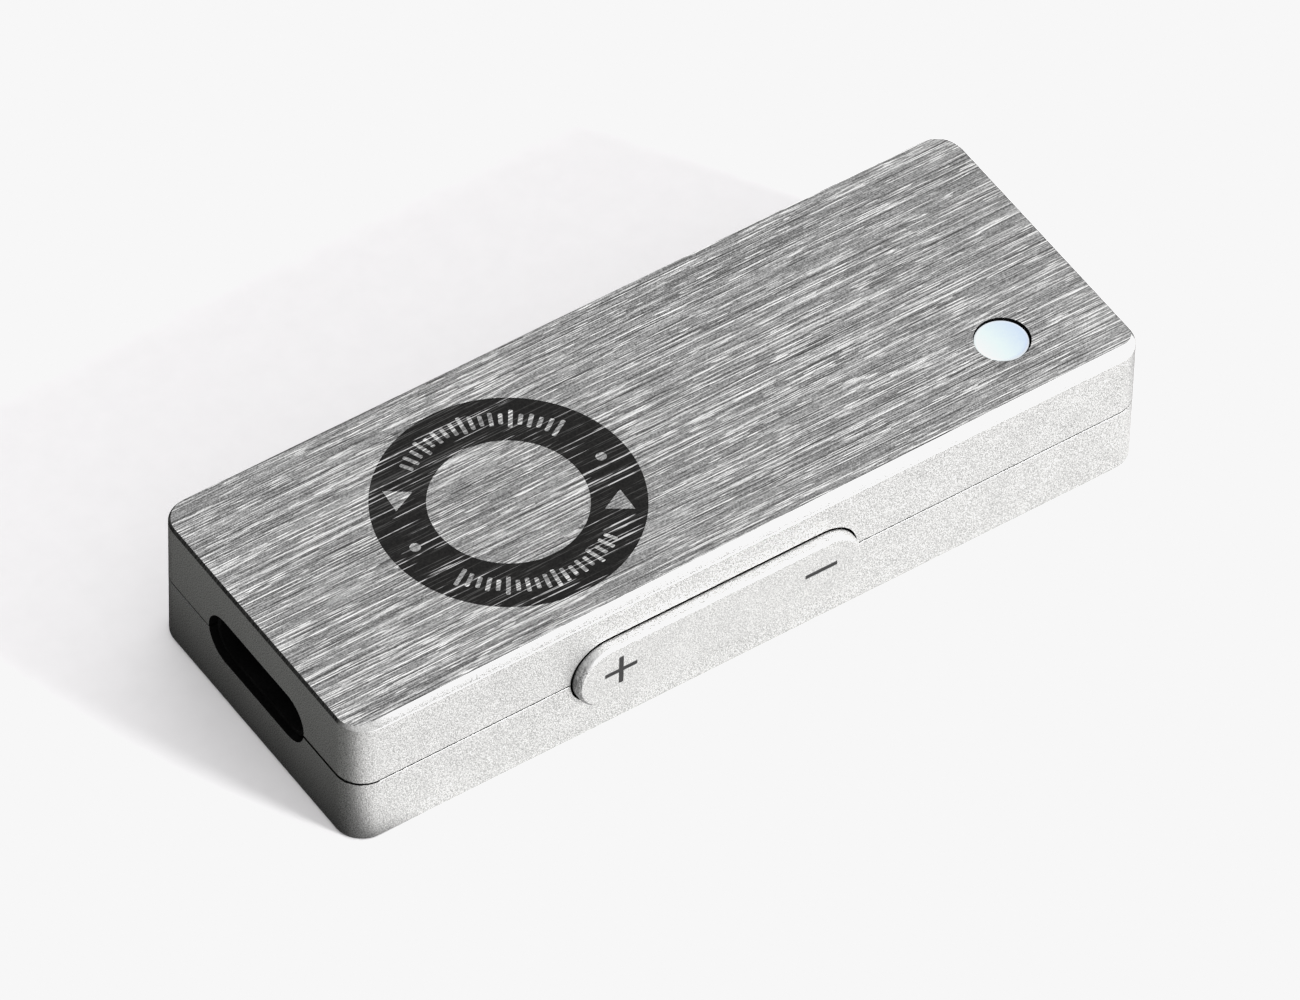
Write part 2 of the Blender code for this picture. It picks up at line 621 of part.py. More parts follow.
def build_usb_socket(shell_material, plastic_material, contact_material):
    """The USB-C receptacle: metal shell, insulator, tongue and two rows of contacts."""
    centre = (SOCKET_Y, SOCKET_Z)
    shell = prism_mesh("usb_socket_shell", "X", stadium(*USB_SIZE), *USB_X, centre)
    shell = add_object("usb_socket_shell", shell, shell_material)
    inner = (USB_SIZE[0] - 2 * USB_WALL, USB_SIZE[1] - 2 * USB_WALL)
    bore_ends = (USB_X[0] - OVERCUT, USB_X[1] + OVERCUT)
    combine(shell, "DIFFERENCE", helper_prism("usb_bore_cutter", "X", stadium(*inner), *bore_ends, centre))
    insulator_front = USB_X[1] - INSULATOR_DEPTH
    insulator_ends = (insulator_front, USB_X[1] - FIT_GAP)
    plug_outline = stadium(inner[0] - FIT_GAP, inner[1] - FIT_GAP)
    insulator = prism_mesh("usb_socket_insulator", "X", plug_outline, *insulator_ends, centre)
    add_object("usb_socket_insulator", insulator, plastic_material)

    tongue_tip = USB_X[0] + TONGUE_SETBACK
    tongue_root = insulator_front - FIT_GAP / 2
    rings = []
    for depth, inset in rounded_end(tongue_tip, tongue_root, TONGUE_ROUND)[::-1] + [(tongue_root, 0)]:
        size = (TONGUE_SIZE[0] - 2 * inset, TONGUE_SIZE[1] - 2 * inset)
        rings.append(in_plane("X", rounded_rectangle(*size, TONGUE_CORNER, 2), depth, centre))
    add_object("usb_socket_tongue", loft_mesh("usb_socket_tongue", rings), plastic_material)

    bar_front = tongue_root - CONTACT_BAR
    finger_tip = tongue_tip + TONGUE_SETBACK
    reach = (CONTACT_COUNT - 1) / 2 * CONTACT_PITCH
    outline = [(tongue_root, reach + CONTACT_WIDTH), (tongue_root, -reach - CONTACT_WIDTH)]
    for index in range(CONTACT_COUNT):
        low = index * CONTACT_PITCH - reach - CONTACT_WIDTH / 2
        high = low + CONTACT_WIDTH
        outline += [(bar_front, low), (finger_tip, low), (finger_tip, high), (bar_front, high)]
    comb = prism_mesh("usb_contacts", "Z", outline, -CONTACT_THICKNESS / 2, CONTACT_THICKNESS / 2)
    lift = TONGUE_SIZE[1] / 2 + CONTACT_LIFT + CONTACT_THICKNESS / 2
    for name, side in (("upper", 1), ("lower", -1)):
        add_object(f"usb_contacts_{name}", comb, contact_material, (0, SOCKET_Y, SOCKET_Z + side * lift))


def build_jack(body_material, collar_material, leaf_material):
    """The 3.5 mm jack: body with a blind bore, front collar, and a leaf for tip, ring and sleeve."""
    axis = (SOCKET_Y, SOCKET_Z)
    middle = ((JACK_X[0] + JACK_X[1]) / 2, *axis)
    body_mesh = box_mesh("jack_body", (JACK_X[1] - JACK_X[0], *JACK_SIZE), 0.25 * MM)
    body = add_object("jack_body", body_mesh, body_material, middle)
    bore_ends = (JACK_X[1] - JACK_BORE_DEPTH, JACK_X[1] + OVERCUT)
    bore_outline = circle(JACK_BORE_RADIUS, 32)
    combine(body, "DIFFERENCE", helper_prism("jack_bore_cutter", "X", bore_outline, *bore_ends, axis))

    wall = JACK_SIZE[0] / 2
    outer = wall - LEAF_INSET
    inner = JACK_BORE_RADIUS - LEAF_BUMP
    for name, side, offset, length in LEAF_PLACES:
        start = JACK_X[0] + offset
        slot_ends = sorted((SOCKET_Y + side * JACK_BORE_RADIUS / 2, SOCKET_Y + side * (wall + OVERCUT)))
        slot = helper_box(
            f"{name}_slot",
            (start, slot_ends[0], SOCKET_Z - LEAF_SLOT_HALF),
            (start + length, slot_ends[1], SOCKET_Z + LEAF_SLOT_HALF),
        )
        combine(body, "DIFFERENCE", slot)
        path = [
            (start + LEAF_INSET, outer),
            (start + LEAF_INSET + length * 0.08, outer - (outer - inner) * 0.3),
            (start + length * 0.6, inner + LEAF_THICKNESS),
            (start + length * 0.7, inner),
            (start + length * 0.8, inner + LEAF_THICKNESS),
            (start + length - LEAF_INSET, inner + 2.2 * LEAF_THICKNESS),
        ]
        outline = offset_strip([(x, SOCKET_Y + side * y) for x, y in path], LEAF_THICKNESS)
        edges = (SOCKET_Z - LEAF_HALF_WIDTH, SOCKET_Z + LEAF_HALF_WIDTH)
        add_object(name, prism_mesh(name, "Z", outline, *edges), leaf_material)

    back = JACK_X[1] + FIT_GAP
    front = LENGTH / 2 - FIT_GAP
    rings = []
    for depth, inset in ((back, 0), (front - COLLAR_EDGE, 0), (front, COLLAR_EDGE)):
        rings.append(in_plane("X", circle(COLLAR_RADIUS - inset, 32), depth, axis))
    collar = add_object("jack_collar", loft_mesh("jack_collar", rings), collar_material)
    mouth_ends = (back - OVERCUT, front + OVERCUT)
    combine(collar, "DIFFERENCE", helper_prism("jack_collar_cutter", "X", bore_outline, *mouth_ends, axis))


def build_components(materials):
    """Chips and passive parts soldered to the board."""
    surface = bpy.data.objects.new("board_surface", None)
    bpy.context.scene.collection.objects.link(surface)
    surface.location = (0, 0, BOARD_Z[1] + SOLDER_GAP)
    parts = list(CHIPS)
    for stem, kind, size, first, pitch, count in ROWS:
        for index in range(count):
            parts.append((f"{stem}_{index + 1}", kind, size, (first[0] + pitch * index, first[1])))
    for name, kind, size, place in parts:
        mesh = box_mesh(name, [value * MM for value in size], CHIP_EDGE)
        location = (place[0] * MM, place[1] * MM, size[2] * MM / 2)
        add_object(name, mesh, materials[kind], location, surface)


def build_shield(material):
    """A folded tin lid over the converter chip, open underneath."""
    base = BOARD_Z[1] + SOLDER_GAP
    top = base + SHIELD_SIZE[2]
    outline = rounded_rectangle(*SHIELD_SIZE[:2], SHIELD_CORNER, 3)
    lid = add_object("shield_can", prism_mesh("shield_can", "Z", outline, base, top, SHIELD_PLACE), material)
    inside = [side - 2 * SHIELD_SHEET for side in SHIELD_SIZE[:2]]
    hollow_outline = rounded_rectangle(*inside, SHIELD_CORNER - SHIELD_SHEET, 3)
    hollow = helper_prism(
        "shield_hollow", "Z", hollow_outline, base - OVERCUT, top - SHIELD_SHEET, SHIELD_PLACE,
    )
    combine(lid, "DIFFERENCE", hollow)


def apply_cuts():
    """Keep each cut body's finished mesh, mark its sharp edges, and drop the cutters."""
    bpy.context.view_layer.update()
    graph = bpy.context.evaluated_depsgraph_get()
    finished = {}
    for body in bpy.data.objects:
        if body.modifiers:
            finished[body] = bpy.data.meshes.new_from_object(body.evaluated_get(graph))
    for body, mesh in finished.items():
        body.modifiers.clear()
        body.data = finish_mesh(mesh)
    for item in list(bpy.data.objects):
        if item.hide_render:
            bpy.data.objects.remove(item, do_unlink=True)


def main():
    clear_scene()
    aluminium = make_material("bead_blasted_aluminium", (0.72, 0.72, 0.73), 0.45, 1.0)
    key_aluminium = make_material("key_aluminium", (0.78, 0.78, 0.79), 0.42, 1.0)
    steel = make_material("steel", (0.55, 0.55, 0.57), 0.3, 1.0)
    black_plastic = make_material("black_plastic", (0.015, 0.015, 0.016), 0.5, 0.0)
    white_plastic = make_material("white_plastic", (0.85, 0.85, 0.84), 0.45, 0.0)
    gold = make_material("gold_plating", (0.83, 0.62, 0.27), 0.25, 1.0)
    nickel = make_material("nickel_plating", (0.6, 0.58, 0.54), 0.3, 1.0)
    lens = make_material("light_pipe", (0.86, 0.93, 1.0), 0.2, 0.0)
    board = make_material("solder_mask", (0.01, 0.06, 0.03), 0.35, 0.0)
    pad = make_material("thermal_pad", (0.35, 0.45, 0.6), 0.8, 0.0)
    component_materials = {
        "chip": make_material("moulded_epoxy", (0.02, 0.02, 0.022), 0.55, 0.0),
        "can": make_material("oscillator_lid", (0.62, 0.6, 0.55), 0.3, 1.0),
        "ferrite": make_material("ferrite", (0.06, 0.06, 0.065), 0.6, 0.0),
        "tantalum": make_material("tantalum_case", (0.75, 0.5, 0.08), 0.5, 0.0),
        "ceramic": make_material("ceramic_capacitor", (0.45, 0.33, 0.2), 0.45, 0.0),
        "resistor": make_material("resistor_film", (0.03, 0.03, 0.035), 0.4, 0.0),
    }
    openings = housing_openings()
    build_top_shell(openings, aluminium)
    build_bottom_shell(openings, aluminium)
    build_screws(steel)
    build_led(lens, white_plastic)
    build_rocker(key_aluminium)
    build_pivot(steel, nickel)
    build_switches(black_plastic, white_plastic)
    build_board(board, pad)
    build_usb_socket(nickel, black_plastic, gold)
    build_jack(black_plastic, gold, nickel)
    build_components(component_materials)
    build_shield(nickel)
    apply_cuts()


main()
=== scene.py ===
"""Looks for the pocket USB-C headphone amplifier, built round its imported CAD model.

The frame is the CAD's own: the origin is the centre of the underside, +X runs along the body from
the USB-C socket to the headphone jack, the volume rocker is on the -Y side, and +Z is up.
"""

import json
import math

import bmesh
import bpy
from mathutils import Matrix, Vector


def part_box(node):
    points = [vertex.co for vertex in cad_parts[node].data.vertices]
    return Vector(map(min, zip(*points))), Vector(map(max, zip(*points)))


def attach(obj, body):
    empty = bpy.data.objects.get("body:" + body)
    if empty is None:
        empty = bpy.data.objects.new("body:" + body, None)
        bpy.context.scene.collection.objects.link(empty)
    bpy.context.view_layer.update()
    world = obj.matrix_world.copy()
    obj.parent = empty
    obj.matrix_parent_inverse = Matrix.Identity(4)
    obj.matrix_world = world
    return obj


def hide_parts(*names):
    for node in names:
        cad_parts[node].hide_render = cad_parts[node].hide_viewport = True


MM = 0.001

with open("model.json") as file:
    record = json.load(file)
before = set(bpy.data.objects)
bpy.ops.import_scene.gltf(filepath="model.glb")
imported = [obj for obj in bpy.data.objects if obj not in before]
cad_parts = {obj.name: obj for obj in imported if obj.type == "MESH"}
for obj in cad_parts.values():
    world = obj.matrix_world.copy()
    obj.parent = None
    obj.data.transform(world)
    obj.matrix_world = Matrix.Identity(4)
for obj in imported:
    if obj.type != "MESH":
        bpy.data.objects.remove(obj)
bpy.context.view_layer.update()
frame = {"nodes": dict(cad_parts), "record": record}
nodes = frame["nodes"]

# Sizes that the CAD boxes give
LOW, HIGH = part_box("top_shell")
LENGTH = HIGH.x - LOW.x
WIDTH = HIGH.y - LOW.y
HEIGHT = HIGH.z
KEY_LOW, KEY_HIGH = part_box("volume_rocker")
KEY_FRONT = KEY_LOW.y
PIPE_LOW, PIPE_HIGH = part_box("led_light_pipe")
LED_X = (PIPE_LOW.x + PIPE_HIGH.x) / 2
LED_Y = (PIPE_LOW.y + PIPE_HIGH.y) / 2
USB_LOW, USB_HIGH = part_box("usb_socket_shell")
SOCKET_Y = (USB_LOW.y + USB_HIGH.y) / 2
SOCKET_Z = (USB_LOW.z + USB_HIGH.z) / 2
ROCKER_Z = (KEY_LOW.z + KEY_HIGH.z) / 2
BOARD_LOW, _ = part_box("main_board")
PLUS_LOW, PLUS_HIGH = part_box("plus_switch_body")
MINUS_LOW, MINUS_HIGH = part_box("minus_switch_body")
GLYPH_X = {
    "plus": (PLUS_LOW.x + PLUS_HIGH.x) / 2,
    "minus": (MINUS_LOW.x + MINUS_HIGH.x) / 2,
}
ROCKER_X = (GLYPH_X["plus"] + GLYPH_X["minus"]) / 2
SCREW_PLACES = {}
for name in sorted(nodes):
    if name.startswith("shell_screw"):
        screw_low, screw_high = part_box(name)
        SCREW_PLACES[name] = (screw_low + screw_high) / 2

# Housing
CORNER_RADIUS = 1.7 * MM
CORNER_STEPS = 22
BOTTOM_EDGE_RADIUS = 0.2 * MM
EDGE_STEPS = 7
WALL = 1.2 * MM
SEAM_Z = 4.6 * MM
SEAM_GAP = 0.1 * MM
SEAM_CHAMFER = 0.02 * MM
SEAM_LIP = 0.014 * MM
SEAM_SHADE_DEPTHS = ((-0.5, 0.09 * MM), (-0.85, 0.05 * MM))
LIP_INSET = 0.7 * MM
LIP_HEIGHT = 0.6 * MM
FIT_GAP = 0.1 * MM
OVERCUT = 1.0 * MM
NEAR = 0.002 * MM
MOUTH_CHAMFER = 0.03 * MM
LED_MOUTH_CHAMFER = 0.025 * MM
USB_OPENING = (9.38 * MM, 3.25 * MM)
JACK_OPENING_RADIUS = 2.35 * MM
LED_HOLE_RADIUS = 1.6 * MM
ROCKER_OPENING = (18.76 * MM, 4.62 * MM)
SEAT_RADIUS = 1.9 * MM
POST_RADIUS = 1.3 * MM
PILOT_RADIUS = 0.75 * MM
PILOT_SPARE = 4 * FIT_GAP
BOARD_CLEARANCE = 0.05 * MM
POST_FOOT = BOARD_LOW.z + BOARD_CLEARANCE
SCREW_HOLE_RADIUS = 0.8 * MM
SCREW_MOUTH_RADIUS = 1.45 * MM
SCREW_MOUTH_CHAMFER = 0.04 * MM

# Top edge, from the sides up: (drop from the top, inset, and inset of the key's side at its two ends)
TOP_EDGE = (
    (0.22 * MM, 0, 0, 0),
    (0.195 * MM, 0.006 * MM, 0.008 * MM, 0.008 * MM),
    (0.18 * MM, 0.015 * MM, 0.02 * MM, 0.02 * MM),
    (0.165 * MM, 0.035 * MM, 0.06 * MM, 0.06 * MM),
    (0, 0.14 * MM, 0.52 * MM, 0.86 * MM),
)

# Volume key
ROCKER_GAP = 0.12 * MM
ROCKER_RIM = 0.25 * MM
KEY_BACK = -7.85 * MM
# Faces of the key's left end turned further towards -X than this, away from the light, get painted shade.
KEY_END_FACING = -0.3
SHADE_LINE = -WIDTH / 2 - 0.02 * MM
PIN_CLEARANCE = 0.05 * MM
FLANGE_SIZE = (10.0 * MM, 5.5 * MM)
FLANGE_CORNER = 0.5 * MM
FLANGE_Y = (-8.3 * MM, -7.75 * MM)
LUG_HALF_WIDTH = 0.85 * MM
LUG_Z = (3.8 * MM, 5.4 * MM)
NUB_RADIUS = 0.7 * MM
NUB_TIP_Y = -7.45 * MM
GLYPH_SIZE = 2.1 * MM
GLYPH_STROKE = 0.31 * MM
GLYPH_DEPTH = 0.12 * MM
GLYPH_RISE = 0.2 * MM
GLYPH_CORNER = 0.03 * MM
INLAY_THICKNESS = 0.105 * MM
INLAY_GAP = 0.002 * MM

# Lens of the light pipe
LENS_GAP = 0.075 * MM
LENS_SHIFT = -0.06 * MM
LENS_RISE = -0.04 * MM
LENS_CROWN = 0.015 * MM
CROWN_STEPS = 9
LENS_EDGE = 0.02 * MM
LENS_FLANGE = 0.65 * MM
LENS_STEM_RADIUS = 1.2 * MM

# Ring printed on the top face, and the plain marks left bare in it
RING_X = -9.65 * MM
RING_Y = -0.11 * MM
RING_INNER = 4.46 * MM
RING_OUTER = 7.59 * MM
PRINT_THICKNESS = 0.008 * MM
MARK_RADIUS = 6.05 * MM
TICK_WIDTH = 0.25 * MM
TICK_LENGTHS = (1.3 * MM, 0.8 * MM, 1.0 * MM)
TICK_SPACING = 5.2
TICK_ARCS = ((29.5, 122.6), (-149.0, -57.6))
DOT_ANGLES = (0.0, 180.0)
DOT_RADIUS = 0.31 * MM
ARROW_ANGLES = (144.4, -33.3)
ARROW_RADIUS = 0.95 * MM


# ---------------------------------------------------------------- outlines


def arc(centre, radius, start, end, steps):
    """Points of an arc, both ends included; angles in degrees."""
    points = []
    for step in range(steps + 1):
        angle = math.radians(start + (end - start) * step / steps)
        points.append((centre[0] + radius * math.cos(angle), centre[1] + radius * math.sin(angle)))
    return points


def circle(radius, steps=48):
    return arc((0, 0), radius, 0, 360, steps)[:-1]


def rounded_rectangle(length, width, radius, steps=CORNER_STEPS):
    points = []
    for quarter, (side_x, side_y) in enumerate(((1, 1), (-1, 1), (-1, -1), (1, -1))):
        centre = (side_x * (length / 2 - radius), side_y * (width / 2 - radius))
        points += arc(centre, radius, 90 * quarter, 90 * quarter + 90, steps)
    return points


def stadium(length, height, steps=28):
    """A slot outline: two straight sides and two half-round ends."""
    reach = (length - height) / 2
    return arc((reach, 0), height / 2, -90, 90, steps) + arc((-reach, 0), height / 2, 90, 270, steps)


def in_plane(axis, outline, height, centre=(0, 0)):
    """Put a flat outline at a height along an axis: u and v become the other two axes in order."""
    placed = []
    for u, v in outline:
        u = u + centre[0]
        v = v + centre[1]
        placed.append({"X": (height, u, v), "Y": (u, height, v), "Z": (u, v, height)}[axis])
    return placed


def rounded_end(near, far, radius, steps=EDGE_STEPS):
    """(position, inset) pairs of a quarter-round edge, from the body out to its end face."""
    direction = math.copysign(1, far - near)
    pairs = []
    for step in range(steps + 1):
        angle = math.radians(90 * step / steps)
        pairs.append((near + direction * radius * (1 - math.sin(angle)), radius * (1 - math.cos(angle))))
    return pairs


# ---------------------------------------------------------------- meshes


def loft(name, rings):
    """A closed mesh through rings of points, with flat ends."""
    shape = bmesh.new()
    loops = []
    for ring in rings:
        loops.append([shape.verts.new(point) for point in ring])
    count = len(loops[0])
    for lower, upper in zip(loops, loops[1:]):
        for index in range(count):
            following = (index + 1) % count
            shape.faces.new((lower[index], lower[following], upper[following], upper[index]))
    shape.faces.new(loops[0][::-1])
    shape.faces.new(loops[-1])
    bmesh.ops.recalc_face_normals(shape, faces=shape.faces)
    mesh = bpy.data.meshes.new(name)
    shape.to_mesh(mesh)
    shape.free()
    body = bpy.data.objects.new(name, mesh)
    bpy.context.scene.collection.objects.link(body)
    return body


def prism(name, axis, outline, start, end, centre=(0, 0)):
    return loft(name, [in_plane(axis, outline, start, centre), in_plane(axis, outline, end, centre)])


def turned(name, profile, place=(0, 0), steps=64):
    """A solid of revolution about an upright axis; the profile is (radius, height) pairs."""
    return loft(name, [in_plane("Z", circle(radius, steps), height, place) for radius, height in profile])


def flared_slot(name, axis, outline, surface, inside, centre, chamfer=MOUTH_CHAMFER):
    """A cutter whose mouth opens by a small chamfer at the surface that it breaks through."""
    outwards = math.copysign(1, surface - inside)
    rings = []
    for height, grow in (
        (inside, 0), (surface - outwards * chamfer, 0), (surface + outwards * chamfer, 2 * chamfer),
        (surface + outwards * OVERCUT, 2 * chamfer),
    ):
        rings.append(in_plane(axis, outline(grow), height, centre))
    return loft(name, rings)


def cut_and_join(body, steps):
    """Apply Boolean steps in order, and remove the shapes that they used."""
    for operation, tool in steps:
        modifier = body.modifiers.new(tool.name, "BOOLEAN")
        modifier.operation = operation
        modifier.solver = "EXACT"
        modifier.object = tool
    bpy.context.view_layer.update()
    graph = bpy.context.evaluated_depsgraph_get()
    mesh = bpy.data.meshes.new_from_object(body.evaluated_get(graph))
    body.modifiers.clear()
    body.data = mesh
    for tool in [step[1] for step in steps]:
        bpy.data.objects.remove(tool, do_unlink=True)
    return body


def smooth(body, angle=32, crease=None):
    """Smooth shading with sharp edges kept, also any edge at the crease height, and normals that favour
    the flat faces."""
    bpy.context.view_layer.update()
    body.data.shade_smooth()
    body.data.set_sharp_from_angle(angle=math.radians(angle))
    if crease is not None:
        points = body.data.vertices
        for edge in body.data.edges:
            if min(points[corner].co.z for corner in edge.vertices) > crease - NEAR:
                edge.use_edge_sharp = True
    weighted = body.modifiers.new("face_weights", "WEIGHTED_NORMAL")
    weighted.keep_sharp = True
    weighted.weight = 90
    graph = bpy.context.evaluated_depsgraph_get()
    mesh = bpy.data.meshes.new_from_object(body.evaluated_get(graph))
    body.modifiers.clear()
    body.data = mesh
    return body


def install(piece, body, materials, replaced=()):
    """Give a piece its materials and its body, and hide the CAD nodes that it stands for."""
    piece.data.materials.clear()
    for material in materials:
        piece.data.materials.append(material)
    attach(piece, body)
    if replaced:
        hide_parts(*replaced)
    return piece


# ---------------------------------------------------------------- materials


class Paint:
    """A Principled material and short ways to add nodes to it. Coordinates are millimetres."""

    def __init__(self, name, **settings):
        self.material = bpy.data.materials.new(name)
        self.material.use_nodes = True
        self.tree = self.material.node_tree
        self.shader = self.tree.nodes["Principled BSDF"]
        for label, value in settings.items():
            self.shader.inputs[label.replace("_", " ")].default_value = value
        coordinates = self.tree.nodes.new("ShaderNodeTexCoord")
        self.place = self.vector("MULTIPLY", coordinates.outputs["Object"], (1 / MM, 1 / MM, 1 / MM))

    def feed(self, socket, value):
        if isinstance(value, bpy.types.NodeSocket):
            self.tree.links.new(value, socket)
        else:
            socket.default_value = value

    def vector(self, operation, first, second):
        node = self.tree.nodes.new("ShaderNodeVectorMath")
        node.operation = operation
        self.feed(node.inputs[0], first)
        self.feed(node.inputs[1], second)
        return node.outputs["Value" if operation in ("DOT_PRODUCT", "DISTANCE") else "Vector"]

    def math(self, operation, first, second=0.0):
        node = self.tree.nodes.new("ShaderNodeMath")
        node.operation = operation
        self.feed(node.inputs[0], first)
        self.feed(node.inputs[1], second)
        return node.outputs[0]

    def noise(self, stretch=(1, 1, 1), scale=1.0, detail=2.0, roughness=0.5, shift=0.0):
        """Noise whose grains are scale per millimetre, stretched along an axis where stretch is small."""
        node = self.tree.nodes.new("ShaderNodeTexNoise")
        moved = self.vector("ADD", self.place, (shift, shift * 1.7, shift * 0.6))
        self.feed(node.inputs["Vector"], self.vector("MULTIPLY", moved, stretch))
        node.inputs["Scale"].default_value = scale
        node.inputs["Detail"].default_value = detail
        node.inputs["Roughness"].default_value = roughness
        return node.outputs["Fac"]

    def cells(self, scale, stretch=(1, 1, 1)):
        """Distance to the nearest of scattered points, scale of them per millimetre."""
        node = self.tree.nodes.new("ShaderNodeTexVoronoi")
        self.feed(node.inputs["Vector"], self.vector("MULTIPLY", self.place, stretch))
        node.inputs["Scale"].default_value = scale
        return node.outputs["Distance"]

    def span(self, value, low, high, to_low=0.0, to_high=1.0, smooth_step=False):
        """Map a value from one range to another, clamped."""
        node = self.tree.nodes.new("ShaderNodeMapRange")
        node.interpolation_type = "SMOOTHSTEP" if smooth_step else "LINEAR"
        self.feed(node.inputs["Value"], value)
        for label, setting in (
            ("From Min", low), ("From Max", high), ("To Min", to_low), ("To Max", to_high),
        ):
            node.inputs[label].default_value = setting
        return node.outputs["Result"]

    def mix(self, share, first, second):
        """Blend two colours."""
        node = self.tree.nodes.new("ShaderNodeMix")
        node.data_type = "RGBA"
        self.feed(node.inputs["Factor"], share)
        for socket, colour in ((node.inputs[6], first), (node.inputs[7], second)):
            self.feed(socket, (*colour, 1.0) if isinstance(colour, tuple) else colour)
        return node.outputs[2]

    def axis(self, name):
        node = self.tree.nodes.new("ShaderNodeSeparateXYZ")
        self.feed(node.inputs[0], self.place)
        return node.outputs[name]

    def bump(self, height, depth_mm, strength=1.0):
        """Bump from a height in 0..1 that stands for depth_mm millimetres."""
        node = self.tree.nodes.new("ShaderNodeBump")
        node.inputs["Strength"].default_value = strength
        node.inputs["Distance"].default_value = depth_mm * MM
        self.feed(node.inputs["Height"], height)
        return node.outputs["Normal"]

    def set(self, **links):
        for label, value in links.items():
            self.feed(self.shader.inputs[label.replace("_", " ")], value)
        return self.material


def brush_marks(paint):
    """Noises of the brushing: fine streaks, wider scratches that also place the painted glints, and the
    grain between them.
    """
    streaks = (
        paint.noise((0.04, 12.0, 1), 1.0, 0.0, 0.5, 3.0),
        paint.noise((0.3, 14.0, 1), 1.0, 0.0, 0.5, 29.0),
    )
    scratches_and_glints = (
        paint.noise((0.05, 8.5, 1), 1.0, 0.0, 0.5, 11.0),
        paint.noise((0.2, 9.5, 1), 1.0, 0.0, 0.5, 53.0),
        paint.noise((0.6, 10.5, 1), 1.0, 0.0, 0.5, 71.0),
    )
    return streaks, scratches_and_glints, paint.noise((1, 1, 1), 9.0, 1.0, 0.7, 5.0)


def hairlines(paint, marks, low, high):
    """Thin lines where any of the noises is extreme, broken up along their length."""
    total = None
    for mark in marks:
        line = paint.span(mark, low, high)
        total = line if total is None else paint.math("MAXIMUM", total, line)
    gaps = paint.span(paint.noise((0.9, 9.0, 1), 1.0, 2.0, 0.6, 41.0), 0.4, 0.5, 0.2, 1.0)
    return paint.math("MULTIPLY", total, gaps)


def weighted_sum(paint, pairs):
    total = None
    for value, weight in pairs:
        term = paint.math("MULTIPLY", value, weight)
        total = term if total is None else paint.math("ADD", total, term)
    return total


def brushed_aluminium():
    """Top face: brushed along X, with bright dashed lines painted in as highlights glinting off the
    scratches, and a few dark ones over a mid-grey grain.
    """
    paint = Paint("brushed_aluminium", Metallic=1.0)
    streaks, scratches_and_glints, grain = brush_marks(paint)
    bands = paint.noise((0.03, 0.8, 1), 1.0, 2.0, 0.5, 17.0)
    tone = weighted_sum(paint, [(streak, 0.6) for streak in streaks] + [(grain, 1.5), (bands, 0.2)])
    colour = paint.mix(paint.span(tone, 1.0, 1.9), (0.16, 0.16, 0.16), (0.62, 0.62, 0.622))
    colour = paint.mix(hairlines(paint, streaks, 0.31, 0.27), colour, (0.13, 0.13, 0.13))
    # Painted highlight: the scratch lines are painted near white, standing in for light glinting off them.
    colour = paint.mix(hairlines(paint, scratches_and_glints, 0.66, 0.69), colour, (1.0, 1.0, 0.995))
    relief = weighted_sum(paint, [(mark, 0.6) for mark in streaks + scratches_and_glints] + [(grain, 0.9)])
    rough = paint.span(tone, 1.0, 1.9, 0.44, 0.34)
    return paint.set(Base_Color=colour, Roughness=rough, Normal=paint.bump(relief, 0.025, 1.0))


def blasted_aluminium(name="blasted_aluminium", light=0.655, contrast=0.5):
    """Sides, underside and key: bead-blasted and anodised, a fine even grain."""
    paint = Paint(name, Metallic=1.0)
    grain = paint.noise((1, 1, 1), 15.0, 1.0, 0.6, 2.0)
    cloud = paint.noise((1, 1, 1), 0.5, 2.0, 0.5, 9.0)
    tone = weighted_sum(paint, ((grain, 1.0), (cloud, 0.06)))
    dark = [light * (1 - contrast) * tint for tint in (1.0, 0.996, 0.987)]
    pale = [light * (1 + contrast) * tint for tint in (1.0, 0.998, 0.992)]
    return paint.set(
        Base_Color=paint.mix(paint.span(tone, 0.33, 0.73), tuple(dark), tuple(pale)),
        Roughness=paint.span(grain, 0.3, 0.7, 0.56, 0.46), Normal=paint.bump(grain, 0.024, 0.9),
    )


def shaded_key_end(light=0.68):
    """The key's left end: rough and grey, with painted shade that is darkest low down and clears towards
    its top.
    """
    paint = Paint("shaded_key_end", Metallic=1.0)
    grain = paint.noise((1, 1, 1), 9.0, 2.0, 0.7, 2.0)
    height = paint.math("ADD", paint.axis("Z"), paint.math("MULTIPLY", grain, 2.4))
    clear = paint.span(height, 6.2, 8.0, 0.0, 1.0, True)
    # Painted shade: the lower part of the end is painted dark grey.
    dark_tone = paint.mix(paint.span(grain, 0.35, 0.65), (0.09, 0.09, 0.09), (0.5, 0.5, 0.5))
    return paint.set(
        Base_Color=paint.mix(clear, dark_tone, (light, light, light)),
        Roughness=paint.span(grain, 0.3, 0.7, 0.6, 0.45), Normal=paint.bump(grain, 0.03, 0.8),
    )


